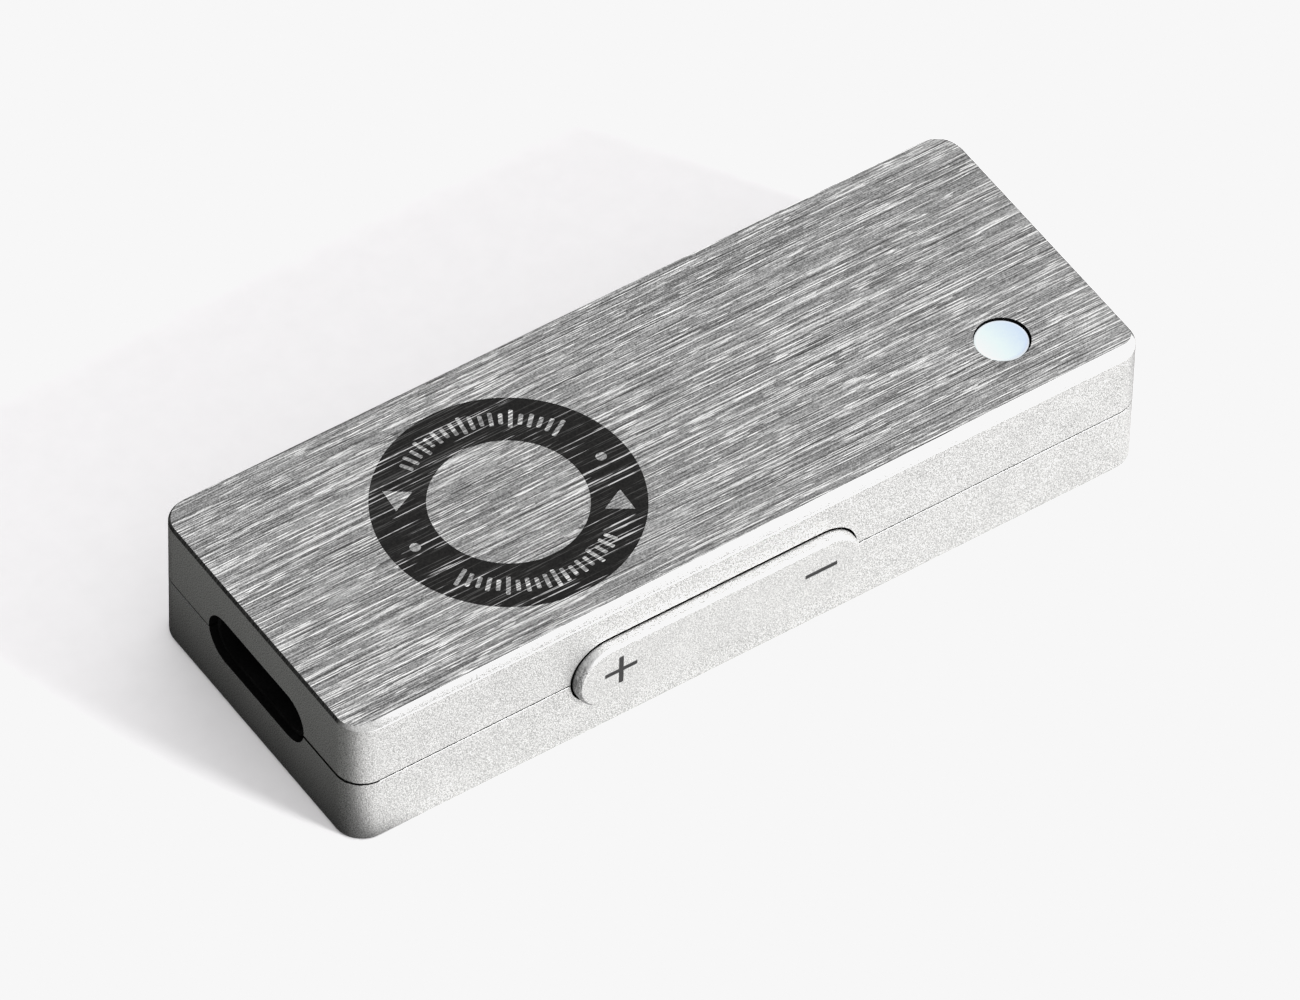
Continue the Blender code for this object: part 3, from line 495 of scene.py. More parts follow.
def cut_edge():
    """The machined edge of the top face: grainy below a painted highlight that is brightest towards the top
    and widens to the right, and painted darker, with no highlight, at the front left corner.
    """
    paint = Paint("cut_edge", Metallic=1.0)
    tool = paint.noise((1, 1, 1), 15.0, 1.0, 0.6, 8.0)
    speck = paint.span(tool, 0.3, 0.7)
    # Painted shade: along falls to nothing at the front left corner, where the edge is painted darker and
    # loses its highlight.
    along = paint.span(paint.axis("X"), -25.0, -22.8, 0.0, 1.0, True)
    ragged = paint.math("ADD", paint.axis("Z"), paint.span(tool, 0.3, 0.7, -0.05, 0.05))
    widening = paint.span(paint.axis("X"), -20.0, 15.0, 0.0, 0.08)
    height = paint.math("ADD", ragged, widening)
    # Painted highlight: the top of the edge, widening to the right, is painted near white and given a lower
    # roughness.
    upwards = paint.span(height, HEIGHT / MM - 0.17, HEIGHT / MM - 0.04)
    bright = paint.math("MULTIPLY", along, upwards)
    satin = paint.mix(speck, (0.38, 0.38, 0.376), (0.9, 0.9, 0.893))
    satin = paint.mix(along, paint.mix(speck, (0.34, 0.34, 0.336), (0.62, 0.62, 0.615)), satin)
    painted_highlight = paint.mix(speck, (0.9, 0.9, 0.9), (0.98, 0.98, 0.98))
    return paint.set(
        Base_Color=paint.mix(bright, satin, painted_highlight),
        Roughness=paint.span(bright, 0.0, 1.0, 0.5, 0.26), Normal=paint.bump(tool, 0.005, 0.4),
    )


def shaded_edge():
    """The narrow chamfer at the ends and the back, painted darker as the shade of the edges that face away
    from the light.
    """
    paint = Paint("shaded_edge", Metallic=1.0)
    tool = paint.noise((1, 6, 1), 2.0, 2.0, 0.6, 8.0)
    return paint.set(
        Base_Color=paint.mix(paint.span(tool, 0.35, 0.65), (0.1, 0.1, 0.1), (0.42, 0.42, 0.42)),
        Roughness=paint.span(tool, 0.3, 0.7, 0.36, 0.28), Normal=paint.bump(tool, 0.005, 0.4),
    )


def ring_ink():
    """Near-black print that has sunk into the brushing, so grey and a few white hairlines still show."""
    paint = Paint("ring_ink", Metallic=0.0, Specular_IOR_Level=0.2)
    streaks, scratches_and_glints, grain = brush_marks(paint)
    base = paint.mix(paint.span(grain, 0.3, 0.7), (0.001, 0.001, 0.001), (0.01, 0.0095, 0.009))
    dark_tone = paint.mix(hairlines(paint, streaks, 0.66, 0.72), base, (0.045, 0.045, 0.044))
    bare = hairlines(paint, scratches_and_glints[:2], 0.735, 0.765)
    return paint.set(
        Base_Color=paint.mix(bare, dark_tone, (0.5, 0.5, 0.5)), Roughness=paint.span(bare, 0.0, 1.0, 0.66, 0.42),
        Normal=paint.bump(grain, 0.01, 0.4),
    )


def inlay_paint():
    """Dark grey paint in the engraved plus and minus."""
    paint = Paint("inlay_paint", Metallic=0.0, Specular_IOR_Level=0.3)
    speck = paint.noise((1, 1, 1), 9.0, 3.0, 0.6)
    colour = paint.mix(paint.span(speck, 0.35, 0.7), (0.01, 0.01, 0.01), (0.034, 0.033, 0.034))
    rough = paint.span(speck, 0.3, 0.7, 0.5, 0.75)
    return paint.set(Base_Color=colour, Roughness=rough, Normal=paint.bump(speck, 0.02, 0.5))


def painted_shade_black():
    """Painted shade for the unlit walls of the openings and the gaps: matt black, barely reflecting."""
    paint = Paint("painted_shade_black", Metallic=0.0, Specular_IOR_Level=0.05)
    speck = paint.noise((1, 1, 1), 6.0, 2.0, 0.5)
    colour = paint.mix(paint.span(speck, 0.3, 0.7), (0.001, 0.001, 0.001), (0.004, 0.004, 0.004))
    return paint.set(Base_Color=colour, Roughness=paint.span(speck, 0.3, 0.7, 0.8, 0.95))


def seam_shade():
    """The ledge inside the seam: black near the USB-C end, grey along the rest."""
    paint = Paint("seam_shade", Metallic=0.0, Specular_IOR_Level=0.05, Roughness=0.9)
    wander = paint.noise((1, 1, 1), 0.3, 2.0, 0.5)
    along = paint.math("ADD", paint.axis("X"), paint.math("MULTIPLY", wander, 6.0))
    share = paint.span(along, -22.0, 6.0, 0.0, 1.0, True)
    return paint.set(Base_Color=paint.mix(share, (0.001, 0.001, 0.001), (0.17, 0.17, 0.167)))


def lit_lens():
    """Frosted lens over a lamp that is on: a little green to the left, violet to the right, with a painted
    highlight round its edge.
    """
    paint = Paint("lit_lens", Metallic=0.0, IOR=1.49)
    across = paint.span(paint.axis("X"), (LED_X / MM) - 1.5, (LED_X / MM) + 1.5)
    frost = paint.noise((1, 1, 1), 6.0, 3.0, 0.6)
    away = paint.vector("DISTANCE", paint.place, (LED_X / MM, LED_Y / MM, HEIGHT / MM))
    # Painted highlight: a pale ring near the lens's edge.
    rim = paint.span(away, 1.3, 1.48, 0.0, 0.6, True)
    glow = paint.mix(across, (0.88, 1.0, 0.985), (0.58, 0.71, 0.97))
    glow = paint.mix(paint.span(frost, 0.3, 0.7, 0.0, 0.12), glow, (0.95, 0.98, 1.0))
    glow = paint.mix(rim, glow, (0.97, 1.0, 1.0))
    return paint.set(
        Base_Color=paint.mix(0.62, glow, (0.0, 0.0, 0.0)), Roughness=paint.span(frost, 0.3, 0.7, 0.3, 0.5),
        Emission_Color=glow, Emission_Strength=0.5, Normal=paint.bump(frost, 0.01, 0.4),
    )


def plated(name, dark, light, rough, scale=3.0):
    """Thin metal plating: light drawing marks and a little tarnish."""
    paint = Paint(name, Metallic=1.0)
    drawn = paint.noise((0.3, 6.0, 6.0), scale / 3.0, 2.0, 0.5)
    stain = paint.noise((1, 1, 1), scale * 0.4, 3.0, 0.55, 4.0)
    share = paint.math("ADD", paint.math("MULTIPLY", drawn, 0.5), paint.math("MULTIPLY", stain, 0.5))
    return paint.set(
        Base_Color=paint.mix(paint.span(share, 0.35, 0.65), dark, light),
        Roughness=paint.span(stain, 0.3, 0.7, rough - 0.07, rough + 0.1),
        Normal=paint.bump(drawn, 0.006, 0.5),
    )


def moulded(name, dark, light, rough, scale=4.0, depth=0.01, shine=0.5):
    """Moulded or pressed body: a fine spark-eroded texture and slow shade changes."""
    paint = Paint(name, Metallic=0.0, Specular_IOR_Level=shine)
    texture = paint.noise((1, 1, 1), scale * 2.0, 3.0, 0.6)
    cloud = paint.noise((1, 1, 1), scale * 0.15, 2.0, 0.5, 6.0)
    share = paint.math("ADD", paint.math("MULTIPLY", texture, 0.6), paint.math("MULTIPLY", cloud, 0.4))
    return paint.set(
        Base_Color=paint.mix(paint.span(share, 0.35, 0.65), dark, light),
        Roughness=paint.span(texture, 0.3, 0.7, rough - 0.08, rough + 0.08),
        Normal=paint.bump(texture, depth, 0.6),
    )


def solder_mask():
    """Circuit board: green mask over copper tracks, with plated pads."""
    paint = Paint("solder_mask", Metallic=0.0)
    tracks = paint.cells(0.9)
    lines = paint.span(paint.math("FRACT", paint.math("MULTIPLY", tracks, 5.0)), 0.42, 0.5)
    pads = paint.span(paint.cells(2.2, (1, 1, 0.01)), 0.08, 0.12, 1.0, 0.0)
    gloss = paint.noise((1, 1, 1), 5.0, 2.0, 0.5)
    mask = paint.mix(lines, (0.006, 0.05, 0.022), (0.014, 0.11, 0.045))
    colour = paint.mix(pads, mask, (0.62, 0.55, 0.36))
    return paint.set(
        Base_Color=colour, Metallic=paint.math("MULTIPLY", pads, 0.9),
        Roughness=paint.span(gloss, 0.3, 0.7, 0.28, 0.42), Normal=paint.bump(lines, 0.02, 0.5),
    )


MATERIALS = {
    "brushed": brushed_aluminium(),
    "cut_edge": cut_edge(),
    "shaded_edge": shaded_edge(),
    "housing_aluminium": blasted_aluminium(),
    "key_aluminium": blasted_aluminium("key_aluminium", 0.66, 0.4),
    "shaded_key_end": shaded_key_end(),
    "ring_ink": ring_ink(),
    "inlay_paint": inlay_paint(),
    "painted_shade_black": painted_shade_black(),
    "seam_shade": seam_shade(),
    "light_pipe": lit_lens(),
    "screw_steel": plated("screw_steel", (0.3, 0.3, 0.31), (0.55, 0.55, 0.57), 0.3),
    "nickel_plate": plated("nickel_plate", (0.42, 0.4, 0.36), (0.66, 0.64, 0.6), 0.28),
    "gold_plate": plated("gold_plate", (0.7, 0.48, 0.18), (0.92, 0.72, 0.36), 0.22),
    "black_finish": moulded("black_finish", (0.002, 0.002, 0.002), (0.006, 0.006, 0.006), 0.8, shine=0.04),
    "white_plastic": moulded("white_plastic", (0.72, 0.72, 0.7), (0.86, 0.86, 0.85), 0.45),
    "solder_mask": solder_mask(),
    "thermal_rubber": moulded("thermal_rubber", (0.26, 0.34, 0.46), (0.4, 0.49, 0.62), 0.8, 2.0, 0.03),
    "epoxy": moulded("epoxy", (0.012, 0.012, 0.013), (0.035, 0.035, 0.037), 0.55),
    "ferrite": moulded("ferrite", (0.04, 0.04, 0.043), (0.09, 0.088, 0.085), 0.6, 6.0, 0.02),
    "tantalum_case": moulded("tantalum_case", (0.6, 0.36, 0.05), (0.8, 0.55, 0.12), 0.5),
    "ceramic": moulded("ceramic", (0.36, 0.25, 0.14), (0.52, 0.4, 0.26), 0.42, 5.0),
}


# ---------------------------------------------------------------- housing


def shell_outline(inset, front_left, front_right):
    """Plan outline of the housing, inset from its sides, and by its own amounts along the key's side."""
    points = []
    corners = ((1, 1, inset), (-1, 1, inset), (-1, -1, front_left), (1, -1, front_right))
    for quarter, (side_x, side_y, depth) in enumerate(corners):
        radius = CORNER_RADIUS - depth
        centre = (side_x * (LENGTH / 2 - inset - radius), side_y * (WIDTH / 2 - depth - radius))
        points += arc(centre, radius, 90 * quarter, 90 * quarter + 90, CORNER_STEPS)
    return points


def shell_rings(levels):
    """Housing outlines at (height, inset) levels, or at levels that also give the two front insets."""
    rings = []
    for height, inset, *front in levels:
        rings.append(in_plane("Z", shell_outline(inset, *(front or (inset, inset))), height))
    return rings


def openings():
    """Cutters through the ends and the side, made afresh for each shell."""
    usb = flared_slot(
        "usb_mouth", "X", lambda grow: stadium(USB_OPENING[0] + grow, USB_OPENING[1] + grow),
        -LENGTH / 2, -LENGTH / 2 + WALL + OVERCUT, (SOCKET_Y, SOCKET_Z),
    )
    jack = flared_slot(
        "jack_mouth", "X", lambda grow: circle(JACK_OPENING_RADIUS + grow / 2, 64),
        LENGTH / 2, LENGTH / 2 - WALL - OVERCUT, (SOCKET_Y, SOCKET_Z),
    )
    rocker = flared_slot(
        "rocker_mouth", "Y", lambda grow: stadium(ROCKER_OPENING[0] + grow, ROCKER_OPENING[1] + grow),
        -WIDTH / 2, -WIDTH / 2 + WALL + OVERCUT, (ROCKER_X, ROCKER_Z),
    )
    return [("DIFFERENCE", tool) for tool in (usb, jack, rocker)]


def build_top_shell():
    """Upper shell: brushed top face, blasted edge and sides, hollow, with its four posts."""
    seam = SEAM_Z + SEAM_GAP / 2
    levels = [(seam, SEAM_CHAMFER), (seam + SEAM_CHAMFER, 0)]
    levels += [(HEIGHT - drop, *insets) for drop, *insets in TOP_EDGE]
    shell = loft("upper_housing", shell_rings(levels))
    roof = HEIGHT - WALL
    steps = [
        ("DIFFERENCE", loft("cavity", shell_rings([(seam - OVERCUT, WALL), (roof, WALL)]))),
        ("DIFFERENCE", loft("rebate", shell_rings([
            (seam - OVERCUT, LIP_INSET - FIT_GAP), (seam + LIP_HEIGHT + FIT_GAP, LIP_INSET - FIT_GAP),
        ]))),
        ("DIFFERENCE", flared_slot(
            "led_mouth", "Z", lambda grow: circle(LED_HOLE_RADIUS + grow / 2, 72),
            HEIGHT, roof - OVERCUT, (LED_X, LED_Y), LED_MOUTH_CHAMFER,
        )),
    ]
    steps += openings()
    for name, place in SCREW_PLACES.items():
        post_profile = [(POST_RADIUS, POST_FOOT), (POST_RADIUS, roof + WALL / 2)]
        pilot_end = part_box(name)[1].z + PILOT_SPARE
        pilot_profile = [(PILOT_RADIUS, POST_FOOT - OVERCUT), (PILOT_RADIUS, pilot_end)]
        post = turned(f"post_{name}", post_profile, place.xy)
        pilot = turned(f"pilot_{name}", pilot_profile, place.xy)
        steps += [("UNION", post), ("DIFFERENCE", pilot)]
    cut_and_join(shell, steps)
    smooth(shell, crease=HEIGHT)
    names = ("housing_aluminium", "painted_shade_black", "brushed", "cut_edge", "shaded_edge")
    finishes = [MATERIALS[name] for name in names]
    install(shell, "housing", finishes, ["top_shell"])
    for face in shell.data.polygons:
        from_led = (face.center.xy - Vector((LED_X, LED_Y))).length
        if face.center.z > HEIGHT - NEAR:
            face.material_index = 2
        # Painted shade: the LED hole's wall, the walls of the openings and the shell's underside at the
        # seam are painted black.
        elif from_led < LED_HOLE_RADIUS + MOUTH_CHAMFER or in_opening(face) or face.center.z < seam + NEAR:
            face.material_index = 1
        # The front of the top edge takes the painted highlight; the ends and the back take the painted
        # shade.
        elif face.center.z > HEIGHT - TOP_EDGE[0][0] and face.normal.z > NEAR:
            face.material_index = 3 if face.normal.y < -0.05 else 4
    return shell


def in_opening(face):
    """Whether a shell face is a wall of the USB-C or the key opening; both get painted black shade inside.
    """
    inside_end = -LENGTH / 2 + NEAR < face.center.x < -LENGTH / 2 + WALL and abs(face.normal.x) < 0.9
    inside_side = -WIDTH / 2 + NEAR < face.center.y < -WIDTH / 2 + WALL and abs(face.normal.y) < 0.9
    reach = 2 * MOUTH_CHAMFER
    if inside_end and abs(face.center.y - SOCKET_Y) < USB_OPENING[0] / 2 + reach:
        return abs(face.center.z - SOCKET_Z) < USB_OPENING[1] / 2 + reach
    if inside_side and abs(face.center.x - ROCKER_X) < ROCKER_OPENING[0] / 2 + reach:
        return abs(face.center.z - ROCKER_Z) < ROCKER_OPENING[1] / 2 + reach
    return False


def seam_shade_depth(face):
    """How far below the seam its shade reaches on a face: deepest by the USB-C end's front corner."""
    if face.center.x < CORNER_RADIUS - LENGTH / 2 and face.center.y < 0:
        for facing, depth in SEAM_SHADE_DEPTHS:
            if face.normal.y > facing:
                return depth
    return NEAR


def build_bottom_shell():
    """Lower shell with its locating lip, board seats and countersunk screw holes."""
    seam = SEAM_Z - SEAM_GAP / 2
    levels = rounded_end(0, seam, BOTTOM_EDGE_RADIUS)[::-1]
    levels += [(seam - depth, 0) for _, depth in SEAM_SHADE_DEPTHS]
    levels += [(seam - SEAM_LIP, 0), (seam, SEAM_LIP)]
    shell = loft("lower_housing", shell_rings(levels))
    lip_top = SEAM_Z + SEAM_GAP / 2 + LIP_HEIGHT
    steps = [
        ("UNION", loft("lip", shell_rings([(seam - WALL, LIP_INSET), (lip_top, LIP_INSET)]))),
        ("DIFFERENCE", loft("cavity", shell_rings([(WALL, WALL), (lip_top + OVERCUT, WALL)]))),
    ]
    steps += openings()
    seat_top = BOARD_LOW.z - BOARD_CLEARANCE
    mouth = 1.5 * FIT_GAP
    for name, place in SCREW_PLACES.items():
        seat = turned(f"seat_{name}", [(SEAT_RADIUS, WALL / 2), (SEAT_RADIUS, seat_top)], place.xy)
        profile = [
            (SCREW_MOUTH_RADIUS + FIT_GAP, -OVERCUT),
            (SCREW_MOUTH_RADIUS + SCREW_MOUTH_CHAMFER, -SCREW_MOUTH_CHAMFER / 4),
            (SCREW_MOUTH_RADIUS, SCREW_MOUTH_CHAMFER),
            (SCREW_MOUTH_RADIUS, mouth),
            (SCREW_HOLE_RADIUS, mouth + SCREW_MOUTH_RADIUS - SCREW_HOLE_RADIUS),
            (SCREW_HOLE_RADIUS, seat_top + OVERCUT),
        ]
        steps += [("UNION", seat), ("DIFFERENCE", turned(f"hole_{name}", profile, place.xy))]
    cut_and_join(shell, steps)
    smooth(shell)
    finishes = [MATERIALS["housing_aluminium"], MATERIALS["painted_shade_black"], MATERIALS["seam_shade"]]
    install(shell, "housing", finishes, ["bottom_shell"])
    for face in shell.data.polygons:
        # Painted shade: the walls of the openings are painted black, and the seam's ledge gets the seam
        # shade.
        if in_opening(face):
            face.material_index = 1
        elif face.center.z > seam - seam_shade_depth(face):
            face.material_index = 2
    return shell


def build_ring_print():
    """The printed ring, with a plain scale, two dots and two arrowheads left bare."""
    base = HEIGHT
    top = HEIGHT + PRINT_THICKNESS
    ring = prism("ring_print", "Z", circle(RING_OUTER, 160), base, top, (RING_X, RING_Y))
    steps = [("DIFFERENCE", prism(
        "ring_hole", "Z", circle(RING_INNER, 120), base - OVERCUT, top + OVERCUT, (RING_X, RING_Y),
    ))]

    def knock_out(name, outline, angle, radius):
        turn = math.radians(angle)
        middle = (RING_X + radius * math.cos(turn), RING_Y + radius * math.sin(turn))
        across, along = math.cos(turn), math.sin(turn)
        rotated = [(u * across - v * along, u * along + v * across) for u, v in outline]
        steps.append(("DIFFERENCE", prism(name, "Z", rotated, base - OVERCUT, top + OVERCUT, middle)))

    for start, end in TICK_ARCS:
        count = round((end - start) / TICK_SPACING)
        for index in range(count + 1):
            length = TICK_LENGTHS[0] if index % 5 == 0 else TICK_LENGTHS[1 + index % 2]
            outline = rounded_rectangle(length, TICK_WIDTH, TICK_WIDTH * 0.3, 3)
            angle = start + (end - start) * index / count
            knock_out(f"tick_{start:.0f}_{index}", outline, angle, MARK_RADIUS)
    for angle in DOT_ANGLES:
        knock_out(f"dot_{angle:.0f}", circle(DOT_RADIUS, 24), angle, MARK_RADIUS)
    for angle in ARROW_ANGLES:
        arrow = arc((0, 0), ARROW_RADIUS, 90, 450, 3)[:-1]
        knock_out(f"arrow_{angle:.0f}", arrow, angle, MARK_RADIUS)
    cut_and_join(ring, steps)
    smooth(ring)
    return install(ring, "housing", [MATERIALS["ring_ink"]])


def build_lens():
    """Frosted light pipe with a slight crown, a flange under the roof and a stem."""
    top = PIPE_HIGH.z + LENS_RISE
    radius = LED_HOLE_RADIUS - LENS_GAP
    flange_top = HEIGHT - WALL - FIT_GAP
    flange_radius = (PIPE_HIGH.x - PIPE_LOW.x) / 2
    flange_bottom = flange_top - LENS_FLANGE
    rim = top - LENS_CROWN
    profile = [
        (LENS_STEM_RADIUS, PIPE_LOW.z), (LENS_STEM_RADIUS, flange_bottom),
        (flange_radius, flange_bottom), (flange_radius, flange_top), (radius, flange_top),
        (radius, rim - LENS_EDGE), (radius - LENS_EDGE * 0.3, rim - LENS_EDGE * 0.3),
        (radius - LENS_EDGE, rim),
    ]
    for step in range(1, CROWN_STEPS):
        share = 1 - step / CROWN_STEPS
        profile.append(((radius - LENS_EDGE) * share, top - LENS_CROWN * share ** 2))
    lens = turned("led_lens", profile, (LED_X + LENS_SHIFT, LED_Y), 72)
    smooth(lens)
    finishes = [MATERIALS["light_pipe"], MATERIALS["painted_shade_black"]]
    install(lens, "housing", finishes, ["led_light_pipe"])
    # Painted shade: the lens's side, in the gap round it, is painted black.
    for face in lens.data.polygons:
        if flange_top < face.center.z < rim - LENS_EDGE:
            face.material_index = 1
    return lens


build_top_shell()
build_bottom_shell()
build_ring_print()
build_lens()


# ---------------------------------------------------------------- volume key


def build_key():
    """The key with a rounded rim and engraved signs, its flange, pivot lug and two pressing nubs."""
    length = ROCKER_OPENING[0] - 2 * ROCKER_GAP
    height = ROCKER_OPENING[1] - 2 * ROCKER_GAP
    pin_low, pin_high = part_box("rocker_pivot_pin")
    pivot = ((pin_low.x + pin_high.x) / 2, (pin_low.y + pin_high.y) / 2)
    hole_outline = circle((pin_high.x - pin_low.x) / 2 + PIN_CLEARANCE, 32)
    centre = (ROCKER_X, ROCKER_Z)
    rings = []
    for depth, inset in [(KEY_BACK, 0), (SHADE_LINE, 0)] + rounded_end(KEY_FRONT, KEY_BACK, ROCKER_RIM, 8):
        rings.append(in_plane("Y", stadium(length - 2 * inset, height - 2 * inset), depth, centre))
    key = loft("volume_key", rings)
    lug_root = FLANGE_Y[0] + FIT_GAP - pivot[1]
    lug_outline = arc((0, 0), LUG_HALF_WIDTH, 0, 180, 20)
    lug_outline += [(-LUG_HALF_WIDTH, lug_root), (LUG_HALF_WIDTH, lug_root)]
    flange_outline = rounded_rectangle(*FLANGE_SIZE, FLANGE_CORNER, 6)
    steps = [
        ("UNION", prism("flange", "Y", flange_outline, *FLANGE_Y, centre)),
        ("UNION", prism("lug", "Z", lug_outline, *LUG_Z, pivot)),
    ]
    for sign, x in GLYPH_X.items():
        nub_ends = (KEY_BACK - 3 * FIT_GAP, NUB_TIP_Y)
        nub = prism(f"{sign}_nub", "Y", circle(NUB_RADIUS, 32), *nub_ends, (x, ROCKER_Z))
        steps.append(("UNION", nub))
        for sizes in glyph_bars(sign):
            outline = rounded_rectangle(*sizes, GLYPH_CORNER, 3)
            ends = (KEY_FRONT - OVERCUT, KEY_FRONT + GLYPH_DEPTH)
            bar = prism(f"{sign}_bar", "Y", outline, *ends, (x, ROCKER_Z + GLYPH_RISE))
            steps.append(("DIFFERENCE", bar))
    hole_ends = (LUG_Z[0] - OVERCUT, LUG_Z[1] + OVERCUT)
    steps.append(("DIFFERENCE", prism("pin_hole", "Z", hole_outline, *hole_ends, pivot)))
    cut_and_join(key, steps)
    smooth(key)
    finishes = [MATERIALS["key_aluminium"], MATERIALS["shaded_key_end"], MATERIALS["painted_shade_black"]]
    install(key, "volume_rocker", finishes, ["volume_rocker"])
    for face in key.data.polygons:
        # Painted shade: the key's sides inside the housing are painted black, and the left end's faces
        # turned away from the light take the shaded end.
        if face.center.y > SHADE_LINE - NEAR:
            face.material_index = 2
        elif face.normal.x < KEY_END_FACING and face.center.x < ROCKER_X - length / 2 + height / 2:
            face.material_index = 1
    return key


def glyph_bars(sign):
    bars = [(GLYPH_SIZE, GLYPH_STROKE)]
    if sign == "plus":
        bars.append((GLYPH_STROKE, GLYPH_SIZE))
    return bars


def build_inlays():
    """Dark paint that nearly fills the engraved signs."""
    back = KEY_FRONT + GLYPH_DEPTH
    for sign, x in GLYPH_X.items():
        bars = []
        for number, (length, height) in enumerate(glyph_bars(sign)):
            outline = rounded_rectangle(length - 2 * INLAY_GAP, height - 2 * INLAY_GAP, GLYPH_CORNER, 3)
            ends = (back - INLAY_THICKNESS, back)
            bars.append(prism(f"{sign}_inlay_{number}", "Y", outline, *ends, (x, ROCKER_Z + GLYPH_RISE)))
        inlay = bars[0]
        inlay.name = f"{sign}_inlay"
        cut_and_join(inlay, [("UNION", bar) for bar in bars[1:]])
        smooth(inlay)
        install(inlay, "volume_rocker", [MATERIALS["inlay_paint"]])


build_key()
build_inlays()


# ---------------------------------------------------------------- carried-over CAD nodes

for subpart in frame["record"]["subparts"]:
    node = nodes[subpart["node"]]
    node.data.materials.clear()
    node.data.materials.append(MATERIALS[subpart["material_slot"]])


# ---------------------------------------------------------------- stage, light and camera

STAGE_HALF_WIDTH = 1500 * MM
FLOOR_GAP = 0.01 * MM
SUN_DIRECTION = Vector((0.455, -0.89, 0)).normalized()
SUN_ELEVATION = math.radians(19)
SUN_SIZE = math.radians(12)
SUN_STRENGTH = 3.6
BRIGHT_SIDE = Vector((0.55, -0.75, 0.35)).normalized()
REFLECTED_SPAN = (-0.6, 0.62, 0.015, 1.3)
FILL_SIDE = Vector((0.25, 0.6, 0.75)).normalized()
FILL_SPAN = (-0.4, 1.0, 0.3, 1.36)
WHITE_LEVEL = 0.93
CAMERA_AZIMUTH = math.radians(-35.136)
CAMERA_ELEVATION = math.radians(48.337)
CAMERA_ROLL = math.radians(1.546)
CAMERA_LENS = 409.1
CAMERA_DISTANCE = 810.67 * MM
AIM_RIGHT = 0.11 * MM
AIM_DOWN = 2.105 * MM


def build_floor():
    """A wide pale sheet under the object."""
    shape = bmesh.new()
    bmesh.ops.create_grid(shape, x_segments=8, y_segments=8, size=STAGE_HALF_WIDTH)
    mesh = bpy.data.meshes.new("floor")
    shape.to_mesh(mesh)
    shape.free()
    floor = bpy.data.objects.new("floor", mesh)
    bpy.context.scene.collection.objects.link(floor)
    floor.location.z = -FLOOR_GAP
    paint = Paint("floor_paper", Roughness=0.9, Specular_IOR_Level=0.1)
    fibre = paint.noise((1, 1, 1), 0.6, 3.0, 0.6)
    mesh.materials.append(paint.set(
        Base_Color=paint.mix(paint.span(fibre, 0.3, 0.7), (0.88, 0.88, 0.885), (0.9, 0.9, 0.905)),
    ))
    floor.visible_glossy = False
    return floor


def build_reflector():
    """A card under the floor that only reflections see: bright in front, dark behind the left end."""
    shape = bmesh.new()
    bmesh.ops.create_grid(shape, x_segments=2, y_segments=2, size=STAGE_HALF_WIDTH)
    mesh = bpy.data.meshes.new("reflector")
    shape.to_mesh(mesh)
    shape.free()
    card = bpy.data.objects.new("reflector", mesh)
    bpy.context.scene.collection.objects.link(card)
    card.location.z = -2 * FLOOR_GAP
    paint = Paint("reflector_glow")
    corner = (-LENGTH / 2 / MM, -WIDTH / 2 / MM, 0)
    from_corner = paint.vector("SUBTRACT", paint.place, corner)
    side = paint.vector("DOT_PRODUCT", from_corner, (0.5, -0.87, 0))
    lit = paint.span(side, 0.75, 2.8, 0.0, 1.0, True)
    behind = paint.vector("DOT_PRODUCT", from_corner, (-1.0, 0.0, 0))
    dark = paint.mix(paint.span(behind, 0.0, 6.5, 0.0, 1.0, True), (0.0, 0.0, 0.0), (0.17, 0.172, 0.165))
    from_end = paint.vector("SUBTRACT", paint.place, (LENGTH / 2 / MM, -WIDTH / 2 / MM, 0))
    past_end = paint.span(paint.vector("DOT_PRODUCT", from_end, (0.35, 0.94, 0)), 1.0, 4.0, 0.0, 1.0, True)
    bright = paint.mix(past_end, (1.03, 1.025, 1.015), (0.2, 0.2, 0.2))
    glow = paint.mix(lit, dark, bright)
    emission = paint.tree.nodes.new("ShaderNodeEmission")
    paint.feed(emission.inputs["Color"], glow)
    output = paint.tree.nodes["Material Output"]
    paint.tree.links.new(emission.outputs[0], output.inputs["Surface"])
    mesh.materials.append(paint.material)
    card.visible_camera = False
    card.visible_diffuse = False
    card.visible_transmission = False
    card.visible_volume_scatter = False
    card.visible_shadow = False
    return card


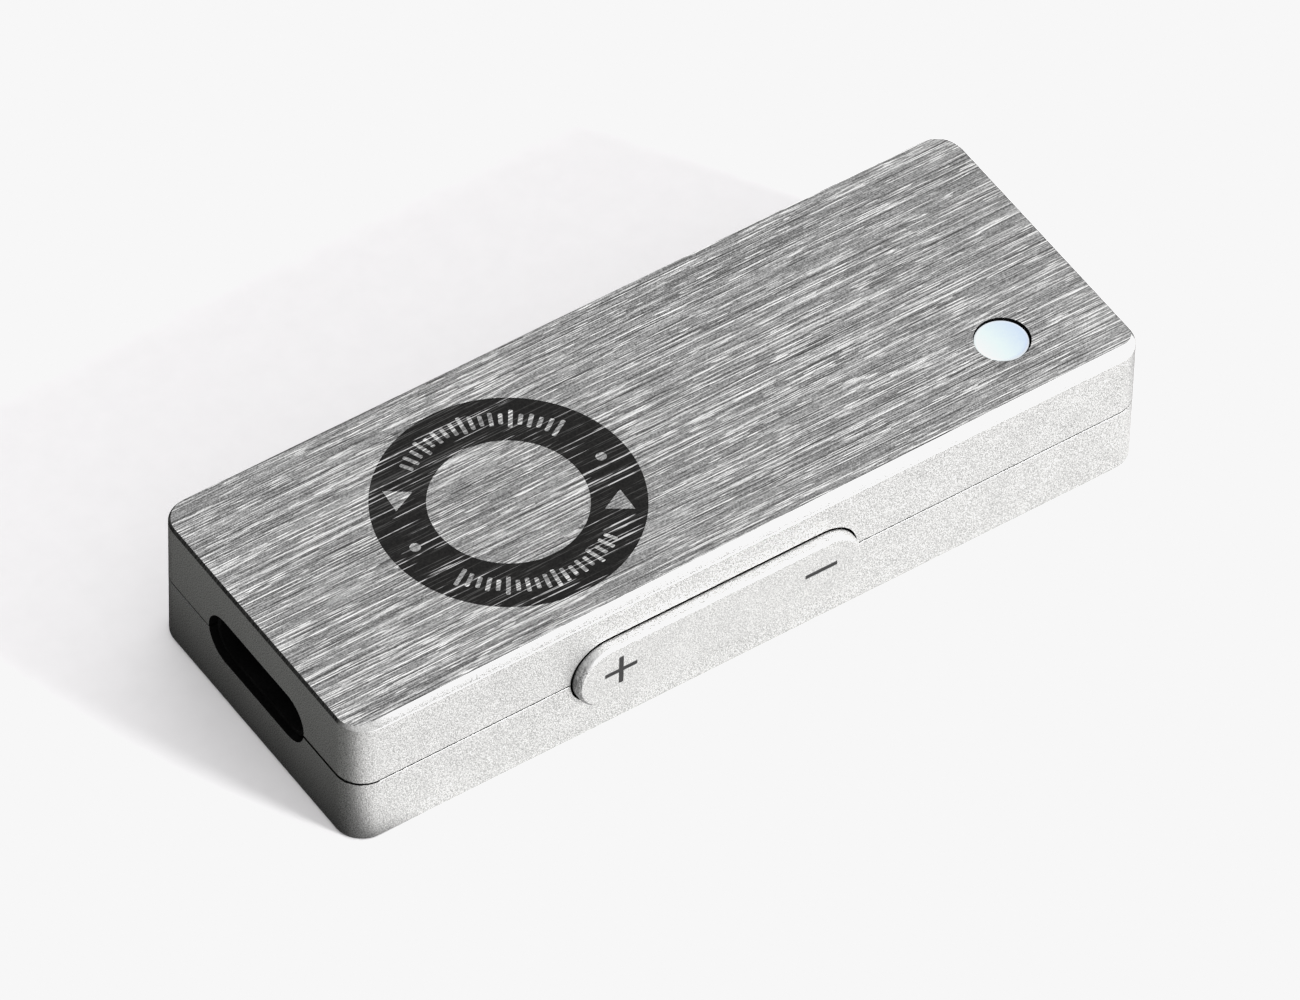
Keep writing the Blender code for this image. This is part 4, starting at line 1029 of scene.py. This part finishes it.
def build_world():
    """A soft dome. Reflections see it bright over the front right and dim behind the left; matt
    surfaces get an even fill that is strongest overhead."""
    world = bpy.data.worlds.new("dome")
    bpy.context.scene.world = world
    world.use_nodes = True
    tree = world.node_tree
    link = tree.links.new
    coordinates = tree.nodes.new("ShaderNodeTexCoord")

    def gradient(direction, span):
        facing = tree.nodes.new("ShaderNodeVectorMath")
        facing.operation = "DOT_PRODUCT"
        facing.inputs[1].default_value = direction
        link(coordinates.outputs["Generated"], facing.inputs[0])
        level = tree.nodes.new("ShaderNodeMapRange")
        level.interpolation_type = "SMOOTHSTEP"
        link(facing.outputs["Value"], level.inputs["Value"])
        for label, setting in zip(("From Min", "From Max", "To Min", "To Max"), span):
            level.inputs[label].default_value = setting
        return level.outputs["Result"]

    def dome(colour, strength):
        background = tree.nodes.new("ShaderNodeBackground")
        background.inputs["Color"].default_value = colour
        link(strength, background.inputs["Strength"])
        return background.outputs[0]

    reflected = dome((1.0, 0.998, 0.995, 1.0), gradient(BRIGHT_SIDE, REFLECTED_SPAN))
    fill = dome((1.0, 0.985, 0.992, 1.0), gradient(FILL_SIDE, FILL_SPAN))
    path = tree.nodes.new("ShaderNodeLightPath")
    mix = tree.nodes.new("ShaderNodeMixShader")
    link(path.outputs["Is Diffuse Ray"], mix.inputs["Fac"])
    link(reflected, mix.inputs[1])
    link(fill, mix.inputs[2])
    link(mix.outputs[0], tree.nodes["World Output"].inputs["Surface"])


def build_sun():
    """The key light: a low soft source from the front right."""
    lamp = bpy.data.lights.new("key_light", "SUN")
    lamp.energy = SUN_STRENGTH
    lamp.angle = SUN_SIZE
    sun = bpy.data.objects.new("key_light", lamp)
    bpy.context.scene.collection.objects.link(sun)
    towards = SUN_DIRECTION * math.cos(SUN_ELEVATION) + Vector((0, 0, math.sin(SUN_ELEVATION)))
    sun.rotation_mode = "QUATERNION"
    sun.rotation_quaternion = towards.to_track_quat("Z", "Y")
    return sun


def build_camera():
    """A long lens from the front left, a little rolled."""
    back = Vector((
        math.sin(CAMERA_AZIMUTH) * math.cos(CAMERA_ELEVATION),
        -math.cos(CAMERA_AZIMUTH) * math.cos(CAMERA_ELEVATION),
        math.sin(CAMERA_ELEVATION),
    ))
    level = Vector((math.cos(CAMERA_AZIMUTH), math.sin(CAMERA_AZIMUTH), 0))
    upright = back.cross(level)
    right = math.cos(CAMERA_ROLL) * level + math.sin(CAMERA_ROLL) * upright
    up = math.cos(CAMERA_ROLL) * upright - math.sin(CAMERA_ROLL) * level
    camera = bpy.data.objects.new("camera", bpy.data.cameras.new("camera"))
    bpy.context.scene.collection.objects.link(camera)
    camera.data.lens = CAMERA_LENS
    camera.data.clip_start = 0.05
    camera.data.clip_end = 50
    place = CAMERA_DISTANCE * back - AIM_RIGHT * right + AIM_DOWN * up
    matrix = camera.matrix_world.copy()
    for column, axis in enumerate((right, up, back, place)):
        for row in range(3):
            matrix[row][column] = axis[row]
    camera.matrix_world = matrix
    bpy.context.scene.camera = camera
    return camera


def set_view():
    """Plain display colours, with the brightest floor held just under white."""
    view = bpy.context.scene.view_settings
    view.view_transform = "Standard"
    view.look = "None"
    view.use_curve_mapping = True
    mapping = view.curve_mapping
    mapping.extend = "HORIZONTAL"
    curve = mapping.curves[3]
    curve.points[-1].location = (1.0, WHITE_LEVEL)
    curve.points.new(WHITE_LEVEL, WHITE_LEVEL)
    for point in curve.points:
        point.handle_type = "VECTOR"
    mapping.update()


build_floor()
build_reflector()
build_world()
build_sun()
build_camera()
set_view()
